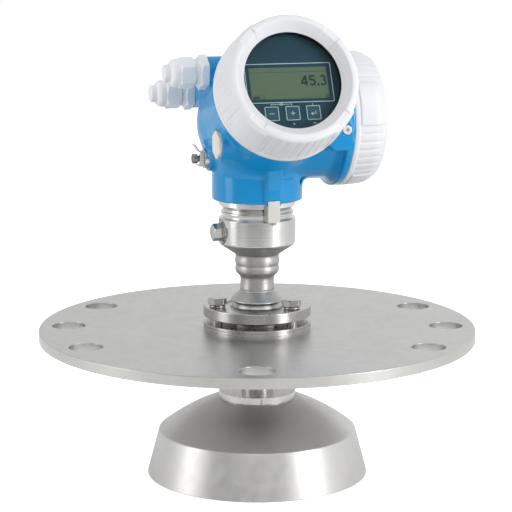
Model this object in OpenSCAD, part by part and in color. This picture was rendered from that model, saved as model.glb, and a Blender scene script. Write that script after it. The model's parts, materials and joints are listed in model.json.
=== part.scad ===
// Radar level transmitter: a dished antenna hangs below a universal process flange, and a
// two-compartment housing with a local display stands above it on a steel neck. The neck ends
// in a ball that a clamp plate holds on the flange, so the antenna can be aimed.
// Origin: centre of the flange's sealing face. +Z up along the flange axis, -Y is the front.

/* [Process flange] */
// Outside diameter of the flange plate
flange_d = 340; // [322:2:380]
// Thickness of the flange plate
flange_t = 8; // [6:0.5:12]
// Diameter of the bolt circle
bolt_circle_d = 295; // [240:1:300]
// Diameter of each bolt hole
bolt_hole_d = 26; // [14:1:30]
// Angle between neighbouring places on the bolt circle
bolt_step = 30; // [30:15:45]
// Places on the bolt circle that hold a hole, counted from the front
bolt_places = [0, 2, 3, 4, 6, 8, 9, 10];

/* [Ball joint] */
// Diameter of the ball at the foot of the neck
ball_d = 44; // [40:1:48]
// Running clearance all round the ball and its liner
ball_fit = 0.05; // [0.02:0.01:0.1]
// Wall of the sliding liner under the ball
liner_t = 0.95; // [0.6:0.05:1.4]
// Diameter of the seat ring and of the clamp plate
seat_d = 84; // [80:1:96]
// Height of the seat ring that is welded to the flange
seat_ring_h = 4.5; // [4:0.5:6]
// Open gap between the seat ring and the clamp plate
clamp_gap = 4.8; // [4:0.2:6]
// Thickness of the clamp plate
clamp_plate_t = 8.4; // [7:0.2:10]
// Diameter of the circle that the clamp bolts stand on
clamp_circle_d = 67; // [64:1:70]
// Thread diameter of a clamp bolt
clamp_bolt_d = 8; // [6:1:8]
// Width across the flats of a clamp bolt's head
clamp_bolt_af = 13; // [10:1:13]
// Height of a clamp bolt's head
clamp_head_h = 5.3; // [4:0.1:6]
// Direction of the first clamp bolt, from +X towards the back
clamp_first = 83; // [0:1:119]

/* [Neck] */
// Diameter of the slim part of the neck
neck_d = 27; // [24:0.5:30]
// Diameter of the double bulge above it
bulge_d = 34.6; // [32:0.2:38]
// Diameter of the purge body
purge_body_d = 59.6; // [52:0.2:64]
// Height of the conical foot above the ball
foot_h = 8.5; // [8:0.5:12]
// Height of the slim part
neck_h = 14.8; // [12:0.2:24]
// Height of the double bulge
bulge_h = 14; // [12:0.2:18]
// Height of the cone under the purge body
cone_h = 9.4; // [7:0.2:12]
// Height of the purge body
purge_body_h = 20.5; // [20:0.5:30]
// Height of the grooved waist that the housing's claw runs in
waist_h = 7.5; // [7:0.1:9]
// Diameter of the purge channel through the neck
purge_bore_d = 15; // [13:0.5:18]
// Direction of the purge plug, from +X towards the back
purge_angle = 200; // [180:1:230]
// Diameter of the purge plug's sealing washer
purge_washer_d = 18.3; // [16:0.1:20]
// Width across the flats of the purge plug
purge_plug_af = 12; // [10:0.5:14]
// Diameter of the spigot that the housing swivels on
spigot_d = 40; // [36:1:42]
// Running clearance of the swivel
swivel_fit = 0.05; // [0.02:0.01:0.1]

/* [Antenna] */
// Diameter of the antenna's rim
rim_d = 173.2; // [160:0.2:190]
// Diameter where the dish meets the shroud
dish_d = 154.8; // [144:0.2:158]
// Focal length of the dish
focal_l = 49.6; // [46:0.2:60]
// Height of the shroud below the dish
shroud_h = 35; // [30:0.5:50]
// Thickness of the spun sheet
sheet_t = 1.6; // [1.2:0.1:2.5]
// Depth of the hub's plate below the flange's sealing face
hub_drop = 43.2; // [36:0.2:60]
// Diameter of the hub's plate
hub_plate_d = 60; // [56:0.5:62]
// Thickness of the hub's plate
hub_plate_t = 5.5; // [4:0.1:7]
// Diameter of the hub
hub_d = 24.8; // [23:0.2:28]
// Diameter of the tube between the ball and the hub
drop_tube_d = 20; // [18:0.5:22]
// Diameter of the waveguide
guide_d = 12; // [10:0.5:12.5]

/* [Housing] */
// Turn of the housing on its swivel
head_turn = 17; // [-170:1:170]
// Height of the chamber axes above the housing's lower edge
axis_h = 59.1; // [56:0.1:70]
// Upward tilt of the display chamber
display_tilt = 24.4; // [10:0.1:30]
// Outside diameter of the housing's round body
chamber_d = 93; // [90:0.5:96]
// Wall of the casting
wall = 4.5; // [3.5:0.1:5]
// Diameter of the rim behind the display cover
display_rim_d = 100; // [98:0.5:101]
// Diameter of the rim behind the terminal cover
terminal_rim_d = 104; // [98:0.5:105]
// Height of the terminal axis above the display axis
terminal_rise = 1.2; // [0:0.1:3]
// Distance from the axes' crossing to the display rim's front
display_rim = 64.4; // [62:0.1:68]
// Distance from the axes' crossing to the terminal rim's front
terminal_rim = 61.2; // [60:0.1:70]
// Diameter of the skirt above the swivel
skirt_d = 70; // [66:0.5:74]
// Distance from the housing's centre to the cable entries' face
entry_face = 42.8; // [40:0.2:46]
// Height of the cable entries above the display axis
entry_rise = 33.4; // [32:0.2:36]
// Place of the front cable entry along the display axis
entry_front = 23; // [20:0.2:28]
// Distance between the two cable entries
entry_pitch = 47; // [42:0.5:50]
// Width across the flats of the plug in the spare entry
entry_plug_af = 18.8; // [16:0.2:22]
// Height of that plug's head
entry_plug_h = 1.8; // [1.4:0.2:6]
// Thread diameter of the cable entries
entry_d = 20; // [16:0.5:20]

/* [Covers] */
// Diameter of the thread that carries a cover
cover_thread_d = 92; // [91:0.5:93]
// Length of the cover thread
cover_thread_l = 14.5; // [12:0.5:16]
// Clearance of the cover thread
cover_fit = 0.1; // [0.04:0.01:0.1]
// Diameter of the display cover at its skirt
display_cover_d = 103.2; // [102:0.2:106]
// Length of the display cover
display_cover_l = 39; // [38:0.5:42]
// Diameter of the terminal cover at its skirt
terminal_cover_d = 104.6; // [103:0.2:108]
// Length of the terminal cover
terminal_cover_l = 28.4; // [27:0.2:36]
// Number of places for grip grooves round a cover
grip_count = 48; // [32:4:60]
// Depth of a grip groove
grip_depth = 0.7; // [0.3:0.1:1]
// Diameter of the window's opening
window_d = 73.4; // [72:0.2:75]
// Thickness of the window glass
glass_t = 4.4; // [3:0.1:5]
// Diameter of the cord of a cover's sealing ring
cover_cord_d = 2.2; // [1.8:0.1:2.6]

/* [Display] */
// Diameter of the display module
module_d = 74.8; // [74:0.2:75]
// Depth of the display's face below the cover's window edge
face_depth = 8; // [7.6:0.1:8.6]
// Width and height of the liquid crystal panel
lcd_size = [61.3, 26.2]; // [20:0.1:62]
// Centre of the liquid crystal panel
lcd_at = [-0.8, 0.2];
// Width and height of a key
key_size = [11.2, 11.4]; // [9:0.1:12]
// Distance between neighbouring keys
key_pitch = 15.8; // [13:0.1:17]
// Centre of the middle key
key_at = [-1, -22.9];
// Gap round a key
key_gap = 0.3; // [0.2:0.05:0.5]
// Travel of a key
key_travel = 0.4; // [0.3:0.05:0.6]
// Thickness of the display's front plate
overlay_t = 1; // [0.8:0.1:1.4]

/* [Cable glands] */
// Width across the flats of a gland's body
gland_af = 24; // [22:0.5:26]
// Height of the hexagon on a gland's body
gland_hex_h = 6.5; // [5:0.1:8]
// Width across the flats of a gland's cap nut
gland_nut_af = 21.6; // [21:0.2:24]
// Length of the cap nut's hexagon
gland_nut_h = 12; // [11:0.2:16]
// Length of the cap nut's dome
gland_dome_h = 7.6; // [6:0.2:9]
// Diameter of the opening in the cap nut
gland_mouth_d = 14; // [12:0.2:15]

/* [Hidden] */
$fn = 96;
eps = 0.01;

// Heights along the flange axis
ball_r = ball_d / 2;
seat_top = flange_t + seat_ring_h;
plate_z = seat_top + clamp_gap;
plate_top = plate_z + clamp_plate_t;
ball_z = seat_top + clamp_gap / 2;
ball_low = ball_z - 0.81 * ball_r;
spring_t = 2;
foot_z = plate_top + 1.8;
slim_z = foot_z + foot_h;
bulge_z = slim_z + neck_h;
cone_z = bulge_z + bulge_h;
body_z = cone_z + cone_h;
waist_z = body_z + purge_body_h;
head_z = waist_z + waist_h;
collar_gap = 0.3;
collar_z = head_z + collar_gap;
collar_h = 6.4;
housing_z = collar_z + collar_h;
axis_z = housing_z + axis_h;

// Neck
neck_r = neck_d / 2;
bulge_r = bulge_d / 2;
body_r = purge_body_d / 2;
waist_r = body_r - 3;
rib_r = body_r - 1.5;
spigot_r = spigot_d / 2;
sleeve_h = 9;
snap_t = 1.5;
snap_z = housing_z + sleeve_h + 0.1;
spigot_top = snap_z + snap_t + 3.4;
purge_z = body_z + 0.48 * purge_body_h;
purge_flat = sqrt(pow(body_r, 2) - pow(purge_washer_d / 2, 2)) - 0.4;
purge_thread_r = purge_washer_d / 2 - 2.6;
washer_t = 1.4;
guide_r = guide_d / 2;
bush_h = 9;

// Antenna
guide_bore = 4;
hub_top = -hub_drop;
hub_low = hub_top - hub_plate_t;
hub_h = 9.5;
tube_in = 6;
tube_wall = 2.2;
land_r = hub_plate_d / 2 + 1;
dish_r = dish_d / 2;
rim_r = rim_d / 2;
focus_z = hub_low - 0.8 - focal_l;
nut_r = 24;
nut_h = 5;
feed_top = focus_z + 12;
feed_h = 12.5;
feed_r = 15;

// Housing
chamber_r = chamber_d / 2;
bore_r = chamber_r - wall;
draft = 0.3;
rim_t = 5.5;
thread_r = cover_thread_d / 2;
cover_gap = 0.3;
display_back = display_rim + cover_gap;
terminal_back = terminal_rim + cover_gap;
skirt_r = skirt_d / 2;
partition = 44;
sleeve_r = spigot_r + 4;
entry_rear = entry_front - entry_pitch;
entry_r = entry_d / 2;
block_r = gland_af / 2 - 0.4;
block_depth = entry_face - 12;
plug_along = 33;
plug_drop = 27;
plug_pad_r = 12;
ground_face = 40;
ground_z = housing_z + 32.5;
ground_pad_r = 9.7;
rib_turn = 3;
claw_w = 9.8;
rib_w = 11.8;
rib_front = skirt_r + 3;
pad_from = -76;
pad_turn = 19.5;
pad_h = 18.6;
pad_rise = 0.9;
skirt_hole = [-33, 3.2, 15.7];
lug_x = [34, terminal_rim - 1.8];
lug_front = -58;
lug_z = [axis_z - 17, axis_z + 8];
lock_at = [52.7, axis_z - 1.4];
lock_r = 3.6;

// Covers, measured along their own axis from the skirt's back edge
pane_seat = display_cover_l - 7.1;
window_edge = display_cover_l - 6.5;
window_r = window_d / 2;
gasket_t = 0.6;
pane_r = window_r + 5.4;
retainer_h = 3.5;
retainer_r = pane_r + 1.3;
thread_depth = cover_thread_l + 1.5;
cord_r = cover_cord_d / 2;

// Display, measured along the display axis from the axes' crossing
module_r = module_d / 2;
face_s = display_back + window_edge - face_depth;
overlay_s = face_s - overlay_t;
module_h = 12;
module_s = overlay_s - module_h;
key_lift = 0.25;
key_h = 1.6;
key_well = key_h + key_travel + 0.3 - overlay_t;
lcd_sink = 0.4;
lcd_t = 1.5;

// Cable glands, measured outwards from the entries' face
gland_neck_h = 3.2;
gland_shaft_r = gland_nut_af / 2 - 2.2;
gland_bore_r = gland_mouth_d / 2 - 0.6;
gland_nut_z = gland_hex_h + gland_neck_h;
gland_top = gland_nut_z + gland_nut_h + gland_dome_h;
gland_shaft_top = gland_nut_z + 0.72 * gland_nut_h;

function arc(c, r, a0, a1, n) =
    [for (i = [0 : n]) let (a = a0 + (a1 - a0) * i / n) [c[0] + r * cos(a), c[1] + r * sin(a)]];

function hex_r(af) = af / sqrt(3);

// Height of the dish's upper side at radius r
function dish_z(r) = hub_low + 0.24 - (r * r - land_r * land_r) / (4 * focal_l);

module tube(r_out, r_in, h) {
    difference() {
        cylinder(r = r_out, h = h);
        translate([0, 0, -1]) cylinder(r = r_in, h = h + 2);
    }
}

// Hexagon bar of height h with its corners chamfered at 30 degrees, on top or at both ends
module hex_head(af, h, both = false) {
    r = hex_r(af);
    cut = r - af / 2 + 0.3;
    drop = cut * tan(30);
    over = tan(30);
    intersection() {
        cylinder(r = r, h = h, $fn = 6);
        rotate_extrude() polygon([
            [0, 0], [both ? r - cut : r + 1, 0], [r + 1, both ? drop + over : 0],
            [r + 1, h - drop - over], [r - cut, h], [0, h]
        ]);
    }
}

module ring_of(count, first = 0) {
    for (i = [0 : count - 1]) rotate([0, 0, first + i * 360 / count]) children();
}

// Frame of the housing: -Y to the display, +X to the terminal cover
module head() {
    rotate([0, 0, head_turn]) children();
}

// Frame on the display axis: +Z out through the window, +X right, +Y up the display
module on_display_axis() {
    head() translate([0, 0, axis_z]) rotate([90 - display_tilt, 0, 0]) children();
}

// Frame on the terminal axis: +Z out through the terminal cover
module on_terminal_axis() {
    head() translate([0, 0, axis_z + terminal_rise]) rotate([0, 90, 0]) children();
}

// Frame on an entry's face: +Z outwards, x along the display axis, y up the display
module on_entry(along, rise) {
    on_display_axis() translate([-entry_face, rise, along]) rotate([0, -90, 0]) children();
}

// ---------------------------------------------------------------- flange and ball joint

module mounting_flange() {
    color("silver") difference() {
        cylinder(d = flange_d, h = flange_t);
        translate([0, 0, ball_z]) sphere(r = ball_r + liner_t + 2 * ball_fit);
        for (place = bolt_places)
            rotate([0, 0, place * bolt_step - 90])
                translate([bolt_circle_d / 2, 0, -1])
                    cylinder(d = bolt_hole_d, h = flange_t + 2);
    }
}

module seat_ring() {
    groove_z = flange_t + 0.45 * seat_ring_h;
    color("gainsboro") difference() {
        translate([0, 0, flange_t]) cylinder(d = seat_d, h = seat_ring_h);
        translate([0, 0, ball_z]) sphere(r = ball_r + liner_t + 2 * ball_fit);
        translate([0, 0, groove_z])
            tube(seat_d, seat_d / 2 - 0.8, 0.6);
        ring_of(3, clamp_first)
            translate([clamp_circle_d / 2, 0, flange_t + 0.6])
                cylinder(d = clamp_bolt_d, h = seat_ring_h);
    }
}

module clamp_plate() {
    mouth = sqrt(pow(ball_r, 2) - pow(plate_top - ball_z, 2));
    color("gainsboro") difference() {
        translate([0, 0, plate_z]) rotate_extrude() polygon([
            [0, 0], [seat_d / 2 - 0.5, 0], [seat_d / 2, 0.5],
            [seat_d / 2, clamp_plate_t - 0.6], [seat_d / 2 - 0.6, clamp_plate_t], [0, clamp_plate_t]
        ]);
        translate([0, 0, ball_z]) sphere(r = ball_r + ball_fit);
        translate([0, 0, plate_top - 1.8])
            cylinder(r1 = mouth + 0.3, r2 = mouth + 2.6, h = 1.8 + eps);
        ring_of(3, clamp_first)
            translate([clamp_circle_d / 2, 0, plate_z - 1])
                cylinder(d = clamp_bolt_d + 0.6, h = clamp_plate_t + 2);
    }
}

module clamp_bolts() {
    color("silver") ring_of(3, clamp_first) translate([clamp_circle_d / 2, 0, 0]) {
        translate([0, 0, flange_t + 1])
            cylinder(d = clamp_bolt_d, h = plate_top + spring_t - flange_t - 0.5);
        translate([0, 0, plate_top + spring_t]) rotate([0, 0, 20])
            hex_head(clamp_bolt_af, clamp_head_h);
    }
}

module spring_washers() {
    color("silver") ring_of(3, clamp_first)
        translate([clamp_circle_d / 2, 0, plate_top]) difference() {
            tube(clamp_bolt_d / 2 + 2.3, clamp_bolt_d / 2, spring_t);
            rotate([0, 0, 60]) translate([0, -0.5, -1]) cube([clamp_bolt_d, 1, spring_t + 2]);
        }
}

// Slides between the ball and its seat, and lets the ball tip the other way
module seat_liner() {
    color("dimgray") intersection() {
        translate([0, 0, ball_z]) difference() {
            sphere(r = ball_r + ball_fit + liner_t);
            sphere(r = ball_r + ball_fit);
        }
        translate([0, 0, ball_z - 0.48 * ball_r])
            cylinder(r = ball_d, h = 0.33 * ball_r);
    }
}

// ---------------------------------------------------------------- neck

neck_outline = concat(
    [[0, foot_z], [ball_r * 0.768, foot_z], [neck_r + 0.5, slim_z], [neck_r + 0.5, slim_z + 1.6],
     [neck_r, slim_z + 2.2], [neck_r, bulge_z - 3.6], [bulge_r - 1.4, bulge_z - 0.2]],
    arc([bulge_r - 4.4, bulge_z + bulge_h * 0.25], 4.4, -34, 33, 4),
    [[bulge_r - 0.75, bulge_z + bulge_h * 0.5]],
    arc([bulge_r - 4.4, bulge_z + bulge_h * 0.74], 4.4, -33, 36, 4),
    [[bulge_r - 0.8, cone_z], [body_r - 0.9, body_z - 0.7], [body_r, body_z + 0.4],
     [body_r, waist_z - 0.8], [body_r - 0.8, waist_z], [waist_r, waist_z + 0.4],
     [waist_r, waist_z + waist_h * 0.4], [rib_r, waist_z + waist_h * 0.44],
     [rib_r, waist_z + waist_h * 0.62], [waist_r, waist_z + waist_h * 0.66],
     [waist_r, head_z], [spigot_r, head_z], [spigot_r, spigot_top - 1], [spigot_r - 1, spigot_top],
     [0, spigot_top]]
);

module neck() {
    color("silver") difference() {
        union() {
            intersection() {
                translate([0, 0, ball_z]) sphere(r = ball_r);
                translate([0, 0, ball_low]) cylinder(r = ball_d, h = ball_d);
            }
            rotate_extrude() polygon(neck_outline);
        }
        translate([0, 0, ball_low - 1]) cylinder(d = purge_bore_d, h = spigot_top);
        translate([0, 0, ball_low - 1]) cylinder(d = drop_tube_d, h = tube_in + 1);
        translate([0, 0, spigot_top - bush_h]) cylinder(d = purge_bore_d + 3, h = bush_h + 1);
        on_purge_face() {
            translate([0, 0, -body_r]) cylinder(r = purge_thread_r, h = body_r + 5);
            cylinder(r = purge_washer_d / 2 + 0.6, h = 5);
        }
        translate([0, 0, snap_z]) tube(spigot_r + 1, spigot_r - 1.6, snap_t + 0.1);
        translate([0, 0, housing_z - 1]) tube(spigot_r + 1, spigot_r - 2, 2.6);
    }
}

// Frame on the flat that the purge plug seals on, +Z outwards
module on_purge_face() {
    rotate([0, 0, purge_angle]) translate([purge_flat, 0, purge_z]) rotate([0, 90, 0]) children();
}

module purge_washer() {
    color("silver") on_purge_face() tube(purge_washer_d / 2, purge_thread_r, washer_t);
}

module purge_plug() {
    plug_h = 7.4;
    thread_l = 11;
    color("silver") on_purge_face() {
        translate([0, 0, -thread_l])
            cylinder(r = purge_thread_r - 0.05, h = thread_l + washer_t);
        translate([0, 0, washer_t]) {
            cylinder(r = purge_washer_d / 2 - 1.2, h = 1);
            hex_head(purge_plug_af, plug_h);
        }
    }
}

module neck_snap_ring() {
    color("gray") translate([0, 0, snap_z]) difference() {
        tube(spigot_r + 2, spigot_r - 1.5, snap_t);
        translate([0, -2, -1]) cube([spigot_d, 4, snap_t + 2]);
    }
}

module swivel_seal() {
    color("black") translate([0, 0, housing_z + 0.3]) rotate_extrude()
        translate([spigot_r - 1.03, 0]) circle(r = 0.97, $fn = 32);
}

module waveguide() {
    color("silver") translate([0, 0, feed_top])
        tube(guide_r, guide_bore, spigot_top + 4 - feed_top);
}

module waveguide_bush() {
    color("white") translate([0, 0, spigot_top - bush_h])
        tube(purge_bore_d / 2 + 1.5, guide_r, bush_h);
}

module waveguide_coupler() {
    color("goldenrod") translate([0, 0, spigot_top]) difference() {
        union() {
            cylinder(r = guide_r + 5, h = 4);
            cylinder(r = guide_r + 2.5, h = 7);
        }
        translate([0, 0, -1]) cylinder(r = guide_r, h = 5);
    }
}

// ---------------------------------------------------------------- antenna

module drop_tube() {
    color("silver") translate([0, 0, hub_top + hub_h])
        tube(drop_tube_d / 2, drop_tube_d / 2 - tube_wall, ball_low + tube_in - hub_top - hub_h);
}

module antenna_hub() {
    shank_l = nut_h + 4;
    screw_turn = 6 - 90;
    color("gainsboro") difference() {
        union() {
            translate([0, 0, hub_low]) cylinder(d = hub_plate_d, h = hub_plate_t);
            translate([0, 0, hub_low]) cylinder(d = hub_d, h = hub_plate_t + hub_h);
            translate([0, 0, hub_low - shank_l]) cylinder(d = hub_d, h = shank_l + 1);
        }
        translate([0, 0, hub_low - shank_l - 1])
            cylinder(r = guide_r, h = shank_l + hub_plate_t + hub_h + 2);
        for (share = [0.3, 0.7])
            rotate([0, 0, screw_turn])
                translate([hub_plate_d / 2 - 2, 0, hub_low + share * hub_plate_t])
                    rotate([0, 90, 0]) cylinder(d = 1.1, h = 3);
        rotate([0, 0, screw_turn])
            translate([hub_d / 2 - 3, 0, hub_top + 0.45 * hub_h])
                rotate([0, 90, 0]) cylinder(d = 3, h = 4);
    }
}

// A paraboloid from the hub's land to the shoulder, then a conical shroud down to the rim
dish_steps = 12;
dish_outside = [for (i = [0 : dish_steps])
    let (r = land_r + (dish_r - land_r) * i / dish_steps) [r, dish_z(r)]];
shoulder_z = dish_z(dish_r);
shroud_lean = atan((rim_r - dish_r) / shroud_h);

function inset(p, lean) = [p[0] - sheet_t * cos(lean), p[1] - sheet_t * sin(lean)];

module antenna_bell() {
    rim_z = shoulder_z - shroud_h;
    turn = 1.6;
    outside = concat(
        [[nut_r - 6, hub_low], [land_r, hub_low]], [for (i = [1 : dish_steps - 1]) dish_outside[i]],
        [[dish_r - 0.7, shoulder_z + 0.45], [dish_r + 0.5, shoulder_z - 1.8], [rim_r, rim_z]]
    );
    inside = concat(
        [[rim_r - sheet_t - 0.4, rim_z], [rim_r - sheet_t - 0.4 * tan(shroud_lean), rim_z + turn]],
        [inset([dish_r, shoulder_z - 1.2], shroud_lean + 12)],
        [for (i = [dish_steps - 1 : -1 : 1])
            let (p = dish_outside[i]) inset(p, 90 - atan(p[0] / (2 * focal_l)))],
        [[land_r - 0.6, hub_low - sheet_t], [nut_r - 6, hub_low - sheet_t]]
    );
    color("darkgray") rotate_extrude() polygon(concat(outside, inside));
}

module bell_nut() {
    color("silver") translate([0, 0, hub_low - sheet_t - nut_h]) difference() {
        tube(nut_r, hub_d / 2, nut_h);
        ring_of(4, 45) translate([nut_r - 2.4, -2, -1]) cube([4, 4, nut_h + 2]);
    }
}

module feed_cone() {
    color("white") translate([0, 0, feed_top]) rotate([180, 0, 0]) difference() {
        union() {
            translate([0, 0, -6]) cylinder(r = guide_r + 1.8, h = 6 + eps);
            cylinder(r1 = guide_r + 1.8, r2 = feed_r, h = feed_h);
        }
        translate([0, 0, -7]) cylinder(r = guide_r, h = 7);
    }
}

module sub_reflector() {
    color("silver") translate([0, 0, feed_top - feed_h - 3.2]) rotate_extrude() polygon(concat(
        [[0, 0]], arc([feed_r - 1.6, 1.6], 1.6, -90, 0, 4), [[feed_r, 3.2], [0, 3.2]]
    ));
}

// ---------------------------------------------------------------- housing

// Round body of one chamber with its rim and its threaded spigot, along +Z
module chamber(r, rim_r, rim_front) {
    rotate_extrude() polygon([
        [0, 0], [r, 0], [r, rim_front - rim_t - 0.7 * (rim_r - r)],
        [rim_r - 0.6, rim_front - rim_t], [rim_r, rim_front - rim_t + 0.8],
        [rim_r, rim_front - 0.6], [rim_r - 0.6, rim_front],
        [thread_r, rim_front], [thread_r, rim_front + cover_thread_l - 0.8],
        [thread_r - 0.8, rim_front + cover_thread_l], [0, rim_front + cover_thread_l]
    ]);
}

// Prism with round corners, drawn from a corner at -w/2, -h/2 and rising along +Z
module round_prism(w, h, l, r) {
    linear_extrude(height = l) union() {
        translate([-w / 2 + r, -h / 2]) square([w - 2 * r, h]);
        translate([-w / 2, -h / 2 + r]) square([w, h - 2 * r]);
        for (x = [-w / 2 + r, w / 2 - r], y = [-h / 2 + r, h / 2 - r])
            translate([x, y]) circle(r = r);
    }
}

// Raised block with a round end behind each cable entry
module entry_block() {
    for (along = [entry_front, entry_rear])
        on_entry(along, entry_rise) translate([0, 0, -block_depth])
            cylinder(r = block_r, h = block_depth);
    on_entry(entry_rear, entry_rise) translate([0, -block_r, -block_depth])
        cube([entry_pitch, 2 * block_r, block_depth]);
}

module lock_lug() {
    head() translate([0, -40, 0]) rotate([90, 0, 0])
        linear_extrude(height = -lug_front - 40) polygon([
            [lug_x[0], lug_z[0] + 8], [lug_x[0] + 9, lug_z[0]], [lug_x[1] - 1.5, lug_z[0]],
            [lug_x[1], lug_z[0] + 1.5], [lug_x[1], lug_z[0] + 7], [lug_x[1] - 3, lug_z[1] - 4],
            [lug_x[1] - 5, lug_z[1]], [lug_x[0], lug_z[1]]
        ]);
}

module skirt() {
    skirt_h = axis_h - 16;
    translate([0, 0, housing_z])
        rotate_extrude() polygon([
            [0, 0], [skirt_r - 0.8, 0], [skirt_r, 0.8], [skirt_r + 0.4, skirt_h], [0, skirt_h]
        ]);
    head() rotate([0, 0, rib_turn]) translate([-rib_w / 2, -rib_front, housing_z - 1.5])
        cube([rib_w, rib_front - 20, 42]);
    head() rotate([0, 0, pad_from]) translate([0, 0, housing_z]) rotate_extrude(angle = pad_turn)
        polygon([[skirt_r - 5, 0.8], [skirt_r + pad_rise, 0.8], [skirt_r + pad_rise, pad_h - 1],
            [skirt_r + pad_rise - 1, pad_h], [skirt_r - 5, pad_h]]);
}

module housing() {
    color("deepskyblue") difference() {
        union() {
            head() translate([0, 0, axis_z]) sphere(r = chamber_r);
            on_display_axis() chamber(chamber_r - draft, display_rim_d / 2, display_rim);
            on_terminal_axis() chamber(chamber_r - draft, terminal_rim_d / 2, terminal_rim);
            skirt();
            entry_block();
            on_entry(plug_along, -plug_drop) translate([0, 0, -16]) cylinder(r = plug_pad_r, h = 16);
            head() translate([-ground_face, 0, ground_z]) rotate([0, 90, 0])
                cylinder(r = ground_pad_r, h = 16);
            lock_lug();
        }
        // chamber for the electronics, with a round back
        head() translate([0, 0, axis_z]) sphere(r = bore_r + draft);
        on_display_axis() cylinder(r = bore_r, h = display_rim + cover_thread_l + 1);
        // chamber for the terminals, behind a partition
        on_terminal_axis() translate([0, 0, partition + wall])
            cylinder(r = bore_r, h = terminal_rim + cover_thread_l);
        on_terminal_axis() translate([0, 12, partition - 12]) cylinder(r = 5, h = 30);
        // swivel bore and its retaining recess
        translate([0, 0, housing_z - 5]) cylinder(r = sleeve_r, h = 35);
        translate([0, 0, housing_z - 5]) cylinder(r = body_r + 0.3, h = 5);
        for (along = [entry_front, entry_rear])
            on_entry(along, entry_rise) translate([0, 0, -24]) cylinder(r = entry_r, h = 25);
        on_entry(plug_along, -plug_drop) {
            translate([0, 0, -24]) cylinder(r = entry_r, h = 25);
            cylinder(r = hex_r(entry_plug_af) + 0.4, h = 8);
        }
        on_ground() {
            translate([0, 0, -10]) cylinder(r = 2.5, h = 11);
            cylinder(r = ground_pad_r + 1, h = 8);
        }
        head() translate([lock_at[0], lug_front - 1, lock_at[1]]) rotate([-90, 0, 0]) {
            cylinder(r = lock_r + 0.05, h = 4);
            cylinder(r = 2, h = 14);
        }
        head() rotate([0, 0, skirt_hole[0]]) translate([skirt_r - 4, 0, housing_z + skirt_hole[2]])
            rotate([0, 90, 0]) cylinder(r = skirt_hole[1], h = 8);
        // seat and thread of the claw under the front rib
        head() rotate([0, 0, rib_turn]) {
            translate([-claw_w / 2 - 0.1, -rib_front - 1, housing_z - 2])
                cube([claw_w + 0.2, 6.2, 5]);
            translate([-claw_w / 2 - 0.1, -rib_front - 1, housing_z - 2])
                cube([claw_w + 0.2, 13.4, 2]);
            translate([0, -rib_front + 3, housing_z]) cylinder(r = 1.6, h = 14);
        }
    }
}

module swivel_collar() {
    color("silver") translate([0, 0, collar_z]) difference() {
        rotate_extrude() polygon([
            [spigot_r + swivel_fit, 0], [body_r - 2.4, 0], [body_r, 2], [body_r, collar_h],
            [sleeve_r - 0.02, collar_h], [sleeve_r - 0.02, collar_h + sleeve_h],
            [spigot_r + swivel_fit, collar_h + sleeve_h]
        ]);
        head() rotate([0, 0, rib_turn])
            translate([-claw_w / 2 - 0.1, -rib_front - 1, -1]) cube([claw_w + 0.2, 13.4, collar_h + 2]);
    }
}

// Steel claw: hangs from the front rib, and its tooth runs in the neck's waist
module lock_claw() {
    low = waist_z + 0.5;
    back = rib_front - 4.8;
    tooth_z = waist_z + 0.7;
    tooth_h = waist_h * 0.4 - 1;
    color("gainsboro") head() rotate([0, 0, rib_turn]) difference() {
        union() {
            translate([-claw_w / 2, -rib_front + 0.4, low])
                cube([claw_w, rib_front - 0.4 - body_r + 3, housing_z - low]);
            translate([-claw_w / 2, -rib_front + 0.4, low])
                cube([claw_w, 4.7, housing_z + 2.9 - low]);
            translate([-claw_w / 2, -back - 1, tooth_z]) cube([claw_w, back + 1 - waist_r, tooth_h]);
        }
        translate([0, 0, low - 1]) cylinder(r = waist_r + 0.35, h = housing_z);
        translate([0, 0, tooth_z + tooth_h + eps])
            cylinder(r = rib_r + 0.35, h = housing_z);
        translate([0, -rib_front + 3, low - 1]) cylinder(r = 1.7, h = housing_z);
    }
}

module claw_screw() {
    low = waist_z + 0.5;
    color("silver") head() rotate([0, 0, rib_turn]) translate([0, -rib_front + 3, low - 2]) difference() {
        union() {
            cylinder(r = 1.6, h = housing_z + 10 - low);
            cylinder(r = 2.7, h = 2);
        }
        translate([0, 0, -1]) cylinder(r = 1.45, h = 2.2, $fn = 6);
    }
}

module cover_lock_screw() {
    color("white") head() translate([lock_at[0], lug_front - 0.6, lock_at[1]]) rotate([-90, 0, 0])
        difference() {
            union() {
                cylinder(r = lock_r, h = 3.6);
                cylinder(r = 1.95, h = 11);
            }
            translate([0, 0, -1]) cylinder(r = 1.45, h = 3.2, $fn = 6);
        }
}

// ---------------------------------------------------------------- covers

// Grip grooves between four smooth lands, cut into a skirt of radius r from z0 to z1
module grip_grooves(r, z0, z1, lean) {
    per_side = grip_count / 4;
    smooth = 4;
    for (side = [0 : 3], i = [0 : per_side - smooth - 1])
        rotate([0, 0, side * 90 + (smooth / 2 + 0.5 + i) * 360 / grip_count])
            translate([r, 0, z0]) rotate([0, -lean, 0])
                translate([-grip_depth, -0.45, 0]) cube([4, 0.9, z1 - z0]);
}

// Four raised lands, one on each side, that a hand or a bar turns the cover by
module grip_lands(r, z0, h, rise) {
    land = 3.6 * 360 / grip_count;
    for (side = [0 : 3])
        rotate([0, 0, side * 90 - land / 2]) translate([0, 0, z0])
            rotate_extrude(angle = land) polygon([
                [r - 3, 0], [r + rise - 0.4, 0], [r + rise, 0.6], [r + rise, h - 1],
                [r + rise - 0.8, h], [r - 3, h]
            ]);
}

display_land_turn = 45;
display_shoulder = display_cover_l - 4.2;
skirt_taper = 2.6;
pocket_r = window_r + 6;
pocket_w = 12.4;
pocket_depth = 1.3;

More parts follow.
